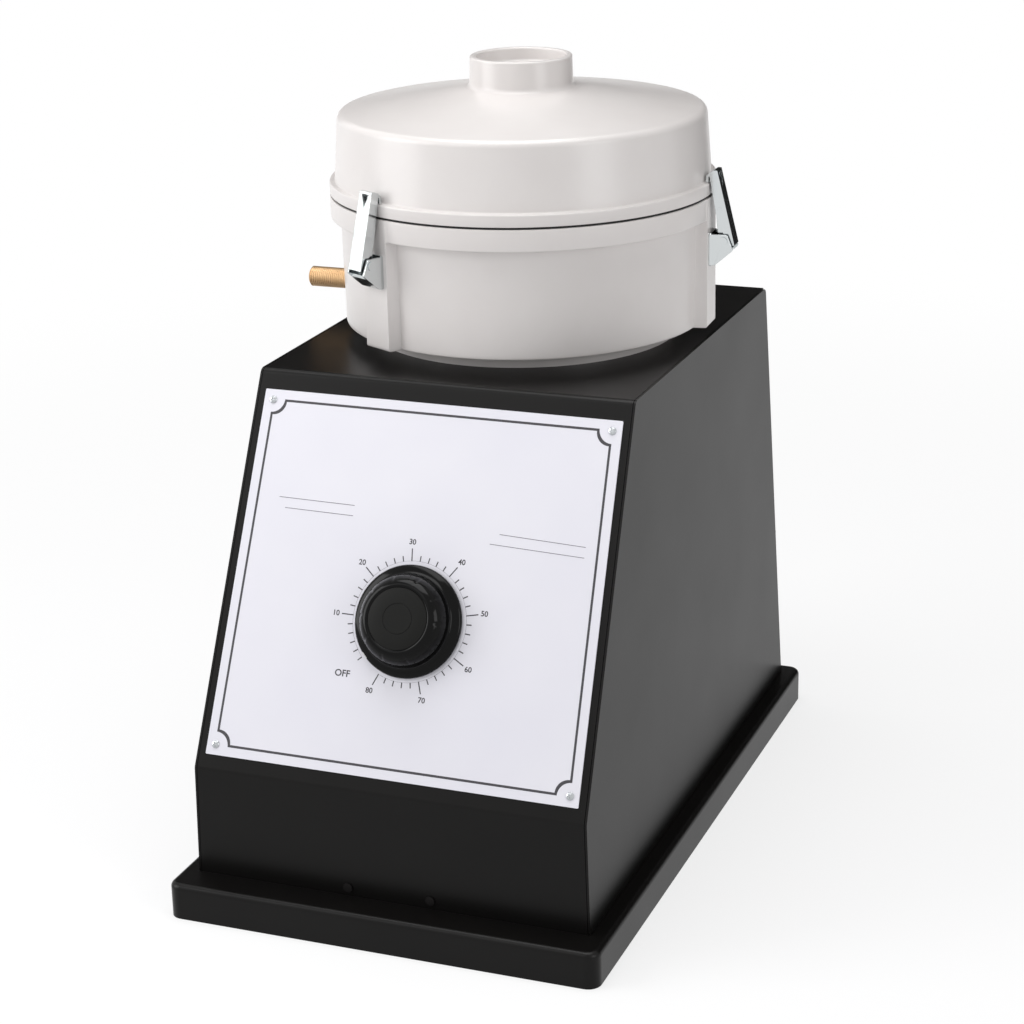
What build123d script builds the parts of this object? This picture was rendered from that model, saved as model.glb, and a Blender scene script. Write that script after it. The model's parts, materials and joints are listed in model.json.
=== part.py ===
"""Bench centrifuge extractor: black housing with a sloped dial panel, a cast
drum with a latched lid on its deck, and a motor-driven rotor bowl inside.

The frame is the spindle axis (Z up) with z = 0 on the bench. The dial panel
faces -Y. All sizes are millimetres.
"""
import os
from math import atan2, cos, hypot, radians, sin, tan

from build123d import *

os.makedirs("parts", exist_ok=True)

# Base tray
base_width = 305.0
base_depth = 496.0
base_height = 25.0
base_wall = 2.5
base_corner_radius = 9.0
base_edge_radius = 4.0
base_plate_thickness = 2.0
base_plate_clearance = 0.3
base_front = -295.0
base_post_radius = 6.0
base_post_inset = 26.0
base_screw_radius = 2.0
base_screw_head_radius = 3.8
bench_hole_radius = 4.5
bench_hole_spacing_x = 220.0
bench_hole_spacing_y = 380.0

# Housing
housing_bottom_width = 280.0
housing_top_width = 266.0
front_margin = 24.0
rear_margin = 15.0
kink_z = 102.0
deck_front = -153.0
deck_z = 346.0
rear_slant = 34.0
sheet = 1.5
seam = 0.4
bend_radius = 5.0
side_edge_radius = 0.6

# Deck plate that carries the drum and the motor
deck_plate_thickness = 8.0
deck_plate_front = -132.0
deck_plate_rear = 132.0
rail_size = 14.0
deck_screw_radius = 2.5
deck_screw_spacing = 90.0
deck_screw_length = 18.0

# Drum, lid and gasket
wall_radius_low = 126.4
wall_radius_high = 127.5
drum_bottom_z = 356.0
drum_floor = 6.0
drum_wall = 6.0
drum_edge_radius = 2.0
drum_foot_radius = 108.0
drum_foot_wall = 10.0
drum_hub_radius = 26.0
flange_radius = 134.4
flange_bottom_z = 430.6
parting_z = 446.5
parting_gap = 1.6
collar_radius = 20.0
collar_top_z = 384.0
lid_flange_top_z = 455.7
lid_wall_radius_low = 130.6
lid_wall_radius_high = 127.5
lid_shoulder_z = 501.7
lid_shoulder_radius = 5.0
lid_wall = 6.0
lid_roof = 5.0
neck_radius = 35.8
neck_base_z = 517.0
neck_top_z = 537.8
neck_bore_radius = 31.0
neck_cup_depth = 9.0
funnel_drop = 5.0
feed_bore_radius = 8.0
neck_draft = 0.6
neck_foot_radius = 2.5
neck_rim_radius = 1.2
flange_edge_radius = 1.2
gasket_inner_radius = 123.0
gasket_edge_setback = 1.4

# Drum bolts
drum_bolt_circle = 76.0
drum_bolt_count = 4
drum_bolt_radius = 4.0
drum_bolt_head_radius = 6.5
drum_bolt_head_height = 5.0
motor_bolt_circle = 48.0
motor_bolt_count = 4
motor_bolt_radius = 3.0
seal_radius = 17.0
seal_lip_gap = 0.08

# Drain
drain_z = 371.0
drain_radius = 7.3
drain_shank_radius = 8.2
drain_bore_radius = 4.8
drain_end = 166.0
drain_boss_radius = 11.5
drain_boss_reach = 129.0
drain_inner_reach = 118.0
drain_chamfer = 1.2

# Latches
latch_angles = (3.0, 123.0, 243.0)
pad_face_radius = 134.6
pad_width = 25.4
pad_edge_radius = 2.0
bracket_pin_offset = 10.0
bracket_pin_z = 416.5
lever_pin_offset = 6.9
lever_pin_z = 438.0
bracket_plate = 1.6
bracket_width = 17.8
ear_thickness = 1.5
ear_reach = 17.0
ear_foot_share = 0.25
ear_slant_share = 0.62
scoop_reach = 14.0
scoop_rise = 2.0
ear_bottom_z = 399.5
ear_top_z = 421.0
latch_pin_radius = 1.5
latch_running_gap = 0.05
latch_pin_head_radius = 3.1
latch_pin_head = 0.9
link_width = 9.2
link_foot_radius = 4.2
link_head_radius = 3.1
lever_width = 12.4
lever_sheet = 1.2
lever_top_offset = 5.2
lever_top_z = 464.5
lever_foot_offset = 17.4
lever_foot_z = 413.5
lever_flange_top = 6.0
lever_flange_high = 8.0
lever_flange_low = 3.4
claw_clearance = 1.3
claw_gap = 0.4
claw_thickness = 1.8
lever_open_end = 5.5
lever_pin_reach = 34.0
lever_slot_width = 7.2
lever_slot_height = 9.0
rivet_radius = 1.6
rivet_head_radius = 2.6
rivet_head_height = 1.0
rivet_depth = 6.0
rivet_low_z = 404.6
rivet_high_z = 411.5

# Motor and spindle
motor_radius = 64.0
motor_wall = 5.0
bell_height = 18.0
bell_vent_count = 8
bell_vent_radius = 6.0
motor_height = 138.0
stator_radius = motor_radius - motor_wall
stator_bore_radius = 36.0
stator_height = 62.0
air_gap = 0.6
winding_height = 13.0
winding_inner_radius = 40.0
winding_outer_radius = 56.0
bearing_outer_radius = 20.0
bearing_width = 12.0
shaft_radius = 10.0
shaft_running_gap = 0.05
shaft_bore_gap = 1.5
shaft_tail = 16.0
fan_radius = 52.0
fan_thickness = 3.0
fan_blade_height = 10.0
fan_blade_count = 8
seal_height = 7.0

# Rotor bowl
hub_top_z = 396.0
hub_flange_radius = 32.0
hub_flange_thickness = 8.0
slinger_wall = 3.0
slinger_gap = 2.0
slinger_drop = 14.0
bowl_wall = 4.0
bowl_floor_radius = 76.0
bowl_rim_radius = 106.0
bowl_rim_inner_radius = 94.0
bowl_rim_z = 430.0
bowl_rim_thickness = 4.0
filter_thickness = 1.4
cover_rim_thickness = 4.0
cover_wall = 3.5
cover_top_z = 462.0
cover_top_radius = 24.0
cover_bore_gap = 0.4
feed_hole_circle = 32.0
feed_hole_radius = 3.5
feed_hole_count = 6
nut_radius = 17.0
nut_height = 20.0
nut_flute_count = 12
nut_flute_radius = 2.0
stud_radius = 8.0
stud_clearance_above_nut = 3.0

# Dial plate, knob and variable transformer
plate_margin_side = 6.7
plate_bottom = 10.0
plate_top = 257.3
plate_thickness = 0.8
plate_corner_radius = 0.8
plate_screw_inset_x = 6.4
plate_screw_inset_y = 7.0
plate_screw_radius = 1.4
plate_screw_head_radius = 2.7
plate_screw_head_height = 1.2
dial_height = 113.5
knob_gap = 0.6
knob_skirt_radius = 37.2
knob_skirt_edge = 3.0
knob_ring_radius = 31.0
knob_ring_height = 6.8
knob_body_top_radius = 22.8
knob_height = 22.0
knob_cap_radius = 20.4
knob_cap_height = 1.0
knob_flute_count = 10
knob_flute_radius = 1.2
knob_flute_circle = 28.6
knob_flute_floor = 16.0
index_angle = 226.0
index_width = 2.4
index_depth = 0.9
knob_shaft_radius = 3.2
knob_shaft_depth = 17.0
panel_bush_radius = 6.5
panel_nut_radius = 9.0
panel_nut_thickness = 3.0
variac_frame_radius = 58.0
variac_frame_thickness = 4.0
variac_coil_outer = 52.0
variac_height = 44.0
variac_gap = 2.0
variac_hub_radius = 16.0
brush_arm_thickness = 4.0
brush_arm_width = 12.0
brush_circle = 38.0
brush_radius = 4.0
brush_gap = 0.3

# Rear panel and electrics
inlet_height = 46.0
inlet_offset = 70.0
inlet_width = 28.0
inlet_depth = 22.0
inlet_tall = 21.0
inlet_lip = 4.0
inlet_pin_spacing = 7.0
inlet_pin_width = 2.0
terminal_count = 6
terminal_pitch = 10.0
terminal_depth = 24.0
terminal_height = 16.0
terminal_y = 110.0
resistor_radius = 8.0
resistor_length = 90.0
resistor_foot = 5.0
resistor_y = 60.0
fuse_offset = 30.0
fuse_radius = 7.0
fuse_slot = 1.5
vent_count = 9
vent_spacing = 12.0
vent_width = 5.0
vent_length = 70.0
vent_height = 190.0
casing_screw_head_radius = 4.0
casing_screw_head_height = 2.6
front_screw_head_radius = 3.2
front_screw_head_height = 1.0
front_screw_x = 29.4
front_screw_z = 31.0
casing_screw_inset = 4.6
casing_screw_height = 121.5
casing_screw_row_x = 80.0
casing_screw_row_heights = (10.0, 306.0)

# Quantities worked out from the values above
housing_front = base_front + front_margin
housing_rear = base_front + base_depth - rear_margin
deck_rear = housing_rear - rear_slant
blank_width = max(housing_bottom_width, housing_top_width)
bracket_pin_radius_at = pad_face_radius + bracket_pin_offset
lever_pin_radius_at = pad_face_radius + lever_pin_offset
lever_top_radius_at = pad_face_radius + lever_top_offset
lever_foot_radius_at = pad_face_radius + lever_foot_offset
claw_reach_radius = lid_wall_radius_low + claw_clearance
housing_lean = atan2((housing_bottom_width - housing_top_width) / 2, deck_z - base_height)
slope_run = deck_front - housing_front
slope_rise = deck_z - kink_z
slope_length = hypot(slope_run, slope_rise)
deck_under_z = deck_z - sheet
deck_plate_under_z = deck_under_z - deck_plate_thickness
drum_floor_z = drum_bottom_z + drum_floor
bowl_cover_z = bowl_rim_z + bowl_rim_thickness + filter_thickness
nut_z = cover_top_z
stud_top_z = nut_z + nut_height + stud_clearance_above_nut
lid_bottom_z = parting_z + parting_gap / 2
drum_top_z = parting_z - parting_gap / 2
motor_top_z = deck_plate_under_z
motor_bottom_z = motor_top_z - motor_height


def save(piece, name):
    """Label a finished piece and write its STEP file."""
    piece.part.label = name
    export_step(piece.part, f"parts/{name}.step")


def half_width(z):
    """Half the housing's outside width at a height."""
    return housing_bottom_width / 2 - (z - base_height) * tan(housing_lean)


def side_plane(inset):
    """The right-hand side's leaning plane, moved inwards by inset."""
    start = (half_width(base_height) - inset / cos(housing_lean), 0, base_height)
    return Plane(origin=start, x_dir=(0, 1, 0), z_dir=(cos(housing_lean), 0, sin(housing_lean)))


def mirrored_plane(plane):
    """The left-hand twin of a leaning plane, facing out."""
    return Plane(
        origin=(-plane.origin.X, plane.origin.Y, plane.origin.Z),
        x_dir=(0, -1, 0),
        z_dir=(-plane.z_dir.X, 0, plane.z_dir.Z),
    )


panel_plane = Plane(
    origin=(0, housing_front, kink_z),
    x_dir=(1, 0, 0),
    z_dir=(0, -slope_rise / slope_length, slope_run / slope_length),
)


def on_panel(x, y, height=0.0):
    """A plane parallel to the dial panel, centred at x, y on it."""
    return Plane(
        origin=panel_plane.from_local_coords(Vector(x, y, height)),
        x_dir=panel_plane.x_dir,
        z_dir=panel_plane.z_dir,
    )


rear_run = housing_rear - deck_rear
rear_rise = deck_z - base_height
rear_length = hypot(rear_run, rear_rise)
rear_plane = Plane(
    origin=(0, housing_rear, base_height),
    x_dir=(-1, 0, 0),
    z_dir=(0, rear_rise / rear_length, rear_run / rear_length),
)


# Base tray: an inverted tray with posts for the bottom plate's screws
post_x = base_width / 2 - base_post_inset
post_y = base_depth / 2 - base_post_inset
base_centre_y = base_front + base_depth / 2
base_under_top = base_height - base_wall

with BuildPart() as base_tray:
    with BuildSketch(Plane.XY):
        with Locations((0, base_centre_y)):
            RectangleRounded(base_width, base_depth, base_corner_radius)
    extrude(amount=base_height)
    fillet(base_tray.faces().sort_by(Axis.Z)[-1].edges(), base_edge_radius)
    with BuildSketch(Plane.XY):
        with Locations((0, base_centre_y)):
            RectangleRounded(
                base_width - 2 * base_wall,
                base_depth - 2 * base_wall,
                base_corner_radius - base_wall,
            )
    extrude(amount=base_under_top, mode=Mode.SUBTRACT)
    with BuildSketch(Plane.XY.offset(base_plate_thickness)):
        with Locations((0, base_centre_y)):
            with GridLocations(2 * post_x, 2 * post_y, 2, 2):
                Circle(base_post_radius)
    extrude(amount=base_under_top - base_plate_thickness)
    with BuildSketch(Plane.XY.offset(base_plate_thickness)):
        with Locations((0, base_centre_y)):
            with GridLocations(2 * post_x, 2 * post_y, 2, 2):
                Circle(base_screw_radius)
    extrude(amount=base_height / 2, mode=Mode.SUBTRACT)
save(base_tray, "base_tray")

with BuildPart() as bottom_plate:
    with BuildSketch(Plane.XY):
        with Locations((0, base_centre_y)):
            RectangleRounded(
                base_width - 2 * (base_wall + base_plate_clearance),
                base_depth - 2 * (base_wall + base_plate_clearance),
                base_corner_radius - base_wall - base_plate_clearance,
            )
            with GridLocations(bench_hole_spacing_x, bench_hole_spacing_y, 2, 2):
                Circle(bench_hole_radius, mode=Mode.SUBTRACT)
    extrude(amount=base_plate_thickness)
    with Locations(Plane.XY.rotated((180, 0, 0))):
        with Locations((0, -base_centre_y)):
            with GridLocations(2 * post_x, 2 * post_y, 2, 2):
                CounterSinkHole(
                    base_screw_radius, base_screw_head_radius, depth=base_plate_thickness
                )
save(bottom_plate, "bottom_plate")

with BuildPart() as bottom_screws:
    with BuildSketch(Plane.XY):
        with Locations((0, base_centre_y)):
            with GridLocations(2 * post_x, 2 * post_y, 2, 2):
                Circle(base_screw_radius)
    extrude(amount=base_height / 2)
    with BuildSketch(Plane.XY):
        with Locations((0, base_centre_y)):
            with GridLocations(2 * post_x, 2 * post_y, 2, 2):
                Circle(base_screw_head_radius)
    extrude(amount=base_screw_head_radius - base_screw_radius, taper=45)
save(bottom_screws, "bottom_screws")

# Housing: a folded front, panel and deck between two leaning side panels
side_profile = [
    (housing_front, base_height),
    (housing_front, kink_z),
    (deck_front, deck_z),
    (deck_rear, deck_z),
    (housing_rear, base_height),
]
wrap_inset = sheet + seam

with BuildPart() as side_panel_right:
    with BuildSketch(side_plane(0)) as side_face:
        with BuildLine():
            Polyline([(y, (z - base_height) / cos(housing_lean)) for y, z in side_profile], close=True)
        make_face()
        fillet(side_face.vertices().sort_by(Axis.Y)[2:], bend_radius)
    extrude(amount=-sheet)
    outer_face = side_panel_right.faces().sort_by(Axis.X)[-1]
    fillet(outer_face.edges().sort_by(Axis.Z)[1:], side_edge_radius)
    split(bisect_by=Plane.XY.offset(base_height), keep=Keep.TOP)
save(side_panel_right, "side_panel_right")

with BuildPart() as side_panel_left:
    mirror(side_panel_right.part, about=Plane.YZ)
save(side_panel_left, "side_panel_left")

with BuildPart() as casing_front:
    with BuildSketch(Plane.YZ):
        with BuildLine():
            FilletPolyline(*side_profile[:4], radius=bend_radius)
            offset(amount=sheet, side=Side.RIGHT)
        make_face()
    extrude(amount=blank_width / 2, both=True)
    split(bisect_by=side_plane(wrap_inset), keep=Keep.BOTTOM)
    split(bisect_by=mirrored_plane(side_plane(wrap_inset)), keep=Keep.BOTTOM)
    with BuildSketch(on_panel(0, dial_height)):
        Circle(panel_bush_radius)
    extrude(amount=-3 * sheet, mode=Mode.SUBTRACT)
    with BuildSketch(Plane.XY.offset(deck_under_z)):
        Circle(shaft_radius + shaft_bore_gap)
        with PolarLocations(drum_bolt_circle, drum_bolt_count):
            Circle(drum_bolt_radius)
    extrude(amount=sheet, mode=Mode.SUBTRACT)
save(casing_front, "casing_front")

with BuildPart() as rear_panel:
    with BuildSketch(rear_plane):
        with BuildLine():
            Polyline(
                (-blank_width / 2, 0),
                (blank_width / 2, 0),
                (blank_width / 2, rear_length - 2 * sheet),
                (-blank_width / 2, rear_length - 2 * sheet),
                close=True,
            )
        make_face()
        with Locations((0, vent_height)):
            with GridLocations(vent_spacing, 0, vent_count, 1):
                SlotOverall(vent_length, vent_width, rotation=90, mode=Mode.SUBTRACT)
        with Locations((inlet_offset, inlet_height)):
            Rectangle(inlet_width, inlet_tall, mode=Mode.SUBTRACT)
        with Locations((fuse_offset, inlet_height)):
            Circle(fuse_radius, mode=Mode.SUBTRACT)
    extrude(amount=-sheet)
    split(bisect_by=side_plane(wrap_inset), keep=Keep.BOTTOM)
    split(bisect_by=mirrored_plane(side_plane(wrap_inset)), keep=Keep.BOTTOM)
    split(bisect_by=Plane.XY.offset(base_height), keep=Keep.TOP)
save(rear_panel, "rear_panel")

with BuildPart() as casing_screws:
    with BuildSketch(Plane.XZ.offset(-housing_front)):
        with Locations((0, front_screw_z)):
            with GridLocations(2 * front_screw_x, 0, 2, 1):
                Circle(front_screw_head_radius)
    extrude(amount=front_screw_head_height)
    edge_screw_x = half_width(base_height + casing_screw_height) - casing_screw_inset
    with BuildSketch(rear_plane):
        with Locations((-edge_screw_x, casing_screw_height), (edge_screw_x, casing_screw_height)):
            Circle(casing_screw_head_radius)
        for height in casing_screw_row_heights:
            with Locations((-casing_screw_row_x, height), (casing_screw_row_x, height)):
                Circle(casing_screw_head_radius)
    extrude(amount=casing_screw_head_height)
save(casing_screws, "casing_screws")

# Deck plate and its rails, cut to the leaning sides
deck_screw_x = half_width(deck_plate_under_z) - sheet - rail_size / 2
with BuildPart() as deck_plate:
    with BuildSketch(Plane.XY.offset(deck_plate_under_z)):
        with Locations((0, (deck_plate_front + deck_plate_rear) / 2)):
            Rectangle(blank_width, deck_plate_rear - deck_plate_front)
        Circle(shaft_radius + shaft_bore_gap, mode=Mode.SUBTRACT)
        with PolarLocations(drum_bolt_circle, drum_bolt_count):
            Circle(drum_bolt_radius, mode=Mode.SUBTRACT)
        with PolarLocations(motor_bolt_circle, motor_bolt_count, start_angle=45):
            Circle(motor_bolt_radius, mode=Mode.SUBTRACT)
        with GridLocations(2 * deck_screw_x, deck_screw_spacing, 2, 3):
            Circle(deck_screw_radius, mode=Mode.SUBTRACT)
    extrude(amount=deck_plate_thickness)
    split(bisect_by=side_plane(sheet), keep=Keep.BOTTOM)
    split(bisect_by=mirrored_plane(side_plane(sheet)), keep=Keep.BOTTOM)
save(deck_plate, "deck_plate")

with BuildPart() as deck_rails:
    with BuildSketch(Plane.XY.offset(deck_plate_under_z - rail_size)):
        with Locations((0, (deck_plate_front + deck_plate_rear) / 2)):
            Rectangle(blank_width, deck_plate_rear - deck_plate_front)
            Rectangle(
                2 * (half_width(deck_plate_under_z) - sheet - rail_size),
                deck_plate_rear - deck_plate_front,
                mode=Mode.SUBTRACT,
            )
        with GridLocations(2 * deck_screw_x, deck_screw_spacing, 2, 3):
            Circle(deck_screw_radius, mode=Mode.SUBTRACT)
    extrude(amount=rail_size)
    split(bisect_by=side_plane(sheet), keep=Keep.BOTTOM)
    split(bisect_by=mirrored_plane(side_plane(sheet)), keep=Keep.BOTTOM)
save(deck_rails, "deck_rails")

with BuildPart() as deck_screws:
    with BuildSketch(Plane.XY.offset(deck_under_z - deck_screw_length)):
        with GridLocations(2 * deck_screw_x, deck_screw_spacing, 2, 3):
            Circle(deck_screw_radius)
    extrude(amount=deck_screw_length)
save(deck_screws, "deck_screws")

# Drum: a cast bowl housing on a foot ring, with three latch pads and a drain boss
drum_inner_radius = wall_radius_low - drum_wall


def latch_plane(angle):
    """A plane through the spindle axis: x runs outwards at the angle, y runs up."""
    turn = radians(angle)
    return Plane(origin=(0, 0, 0), x_dir=(cos(turn), sin(turn), 0), z_dir=(sin(turn), -cos(turn), 0))


def face_plane(angle, reach, z):
    """A plane square to the outward direction at the angle, facing out."""
    turn = radians(angle)
    return Plane(
        origin=(reach * cos(turn), reach * sin(turn), z),
        x_dir=(-sin(turn), cos(turn), 0),
        z_dir=(cos(turn), sin(turn), 0),
    )


drain_plane = Plane(origin=(0, 0, drain_z), x_dir=(0, -1, 0), z_dir=(-1, 0, 0))

with BuildPart() as drum:
    with BuildSketch(Plane.XZ) as drum_section:
        with BuildLine():
            Polyline(
                (0, drum_bottom_z),
                (wall_radius_low, drum_bottom_z),
                (wall_radius_high, flange_bottom_z),
                (flange_radius, flange_bottom_z),
                (flange_radius, drum_top_z),
                (0, drum_top_z),
                close=True,
            )
        make_face()
        bottom_corner = drum_section.vertices().group_by(Axis.Y)[0].sort_by(Axis.X)[-1]
        fillet(bottom_corner, drum_edge_radius)
    revolve(axis=Axis.Z)
    for angle in latch_angles:
        pad_height = drum_top_z - drum_bottom_z
        pad_start = wall_radius_low - drum_wall / 2
        with BuildSketch(face_plane(angle, pad_start, drum_bottom_z + pad_height / 2)):
            RectangleRounded(pad_width, pad_height, pad_edge_radius)
        extrude(amount=pad_face_radius - pad_start)
    with BuildSketch(drain_plane):
        Circle(drain_boss_radius)
    extrude(amount=drain_boss_reach)
    with BuildSketch(Plane.XY.offset(deck_z)):
        Circle(drum_foot_radius)
        Circle(drum_foot_radius - drum_foot_wall, mode=Mode.SUBTRACT)
        Circle(drum_hub_radius)
        with PolarLocations(drum_bolt_circle, drum_bolt_count):
            Circle(2 * drum_bolt_radius)
    extrude(amount=drum_bottom_z - deck_z)
    with BuildSketch(Plane.XY.offset(drum_floor_z)):
        Circle(drum_inner_radius)
    extrude(amount=drum_top_z - drum_floor_z, mode=Mode.SUBTRACT)
    with BuildSketch(Plane.XY.offset(drum_floor_z)):
        Circle(collar_radius)
    extrude(amount=collar_top_z - drum_floor_z)
    with BuildSketch(Plane.XY.offset(deck_z)):
        Circle(shaft_radius + shaft_bore_gap)
    extrude(amount=collar_top_z - deck_z, mode=Mode.SUBTRACT)
    with BuildSketch(Plane.XY.offset(deck_z)):
        Circle(seal_radius)
    extrude(amount=seal_height, mode=Mode.SUBTRACT)
    with BuildSketch(Plane.XY.offset(deck_z)):
        with PolarLocations(drum_bolt_circle, drum_bolt_count):
            Circle(drum_bolt_radius)
    extrude(amount=drum_floor_z - deck_z, mode=Mode.SUBTRACT)
    with BuildSketch(drain_plane.offset(drain_inner_reach)):
        Circle(drain_shank_radius)
    extrude(amount=drain_boss_reach, mode=Mode.SUBTRACT)
    for angle in latch_angles:
        for rivet_z in (rivet_low_z, rivet_high_z):
            with BuildSketch(face_plane(angle, pad_face_radius, rivet_z)):
                Circle(rivet_radius)
            extrude(amount=-rivet_depth, mode=Mode.SUBTRACT)
save(drum, "drum")

with BuildPart() as shaft_seal:
    with BuildSketch(Plane.XY.offset(deck_z)):
        Circle(seal_radius)
        Circle(shaft_radius + seal_lip_gap, mode=Mode.SUBTRACT)
    extrude(amount=seal_height)
save(shaft_seal, "shaft_seal")

with BuildPart() as drum_bolts:
    bolt_foot_z = deck_plate_under_z
    with BuildSketch(Plane.XY.offset(bolt_foot_z)):
        with PolarLocations(drum_bolt_circle, drum_bolt_count):
            Circle(drum_bolt_radius)
    extrude(amount=drum_floor_z - bolt_foot_z)
    with BuildSketch(Plane.XY.offset(drum_floor_z)):
        with PolarLocations(drum_bolt_circle, drum_bolt_count):
            RegularPolygon(drum_bolt_head_radius, 6)
    extrude(amount=drum_bolt_head_height)
save(drum_bolts, "drum_bolts")

with BuildPart() as drum_gasket:
    with BuildSketch(Plane.XY.offset(drum_top_z)):
        Circle(flange_radius - gasket_edge_setback)
        Circle(gasket_inner_radius, mode=Mode.SUBTRACT)
    extrude(amount=parting_gap)
save(drum_gasket, "drum_gasket")

# Drain nipple: a tube with a bevelled tip on a thicker shank seated in the boss
with BuildPart() as drain_nipple:
    with BuildSketch(drain_plane.offset(drain_inner_reach)):
        Circle(drain_shank_radius)
    extrude(amount=drain_boss_reach - drain_inner_reach)
    with BuildSketch(drain_plane.offset(drain_boss_reach)):
        Circle(drain_radius)
    extrude(amount=drain_end - drain_boss_reach)
    chamfer(drain_nipple.faces().sort_by(Axis.X)[0].edges(), drain_chamfer)
    with BuildSketch(drain_plane.offset(drain_inner_reach)):
        Circle(drain_bore_radius)
    extrude(amount=drain_end, mode=Mode.SUBTRACT)
save(drain_nipple, "drain_nipple")

# Lid: a drafted cover with a shallow cone top and a filler neck
lid_inner_radius = lid_wall_radius_high - lid_wall
with BuildPart() as lid:
    with BuildSketch(Plane.XZ) as lid_section:
        with BuildLine():
            Polyline(
                (feed_bore_radius, lid_bottom_z),
                (flange_radius, lid_bottom_z),
                (flange_radius, lid_flange_top_z),
                (lid_wall_radius_low, lid_flange_top_z),
                (lid_wall_radius_high, lid_shoulder_z),
                (neck_radius, neck_base_z),
                (neck_radius - neck_draft, neck_top_z),
                (neck_bore_radius, neck_top_z),
                (neck_bore_radius, neck_top_z - neck_cup_depth),
                (feed_bore_radius, neck_top_z - neck_cup_depth - funnel_drop),
                close=True,
            )
        make_face()
        rounded_corners = (
            ((lid_wall_radius_high, lid_shoulder_z), lid_shoulder_radius),
            ((neck_radius, neck_base_z), neck_foot_radius),
            ((neck_radius - neck_draft, neck_top_z), neck_rim_radius),
            ((neck_bore_radius, neck_top_z), neck_rim_radius),
            ((flange_radius, lid_flange_top_z), flange_edge_radius),
        )
        for corner, radius in rounded_corners:
            fillet(lid_section.vertices().sort_by_distance(corner)[0], radius)
    revolve(axis=Axis.Z)
    with BuildSketch(Plane.XZ):
        with BuildLine():
            Polyline(
                (0, lid_bottom_z),
                (lid_inner_radius, lid_bottom_z),
                (lid_inner_radius, lid_shoulder_z - lid_roof),
                (neck_radius, neck_base_z - lid_roof),
                (0, neck_base_z - lid_roof),
                close=True,
            )
        make_face()
    revolve(axis=Axis.Z, mode=Mode.SUBTRACT)
save(lid, "lid")

# Latches: bracket, pins, link and hooked lever, once per pad
link_half = link_width / 2
lever_half = lever_width / 2
bracket_half = bracket_width / 2
web_run = lever_foot_radius_at - lever_top_radius_at
web_rise = lever_top_z - lever_foot_z
web_length = hypot(web_run, web_rise)
web_out = (web_rise / web_length, web_run / web_length)
web_down = (web_run / web_length, -web_rise / web_length)
claw_under_z = lid_flange_top_z + claw_gap
lever_top = (lever_top_radius_at, lever_top_z)
lever_foot = (lever_foot_radius_at, lever_foot_z)


def inward(point, depth):
    """The point moved square to the lever's web, towards the drum."""
    return (point[0] - depth * web_out[0], point[1] - depth * web_out[1])


def along(point, distance):
    """The point moved down the lever's web."""
    return (point[0] + distance * web_down[0], point[1] + distance * web_down[1])


bracket_pin = (bracket_pin_radius_at, bracket_pin_z)
lever_pin = (lever_pin_radius_at, lever_pin_z)

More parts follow.
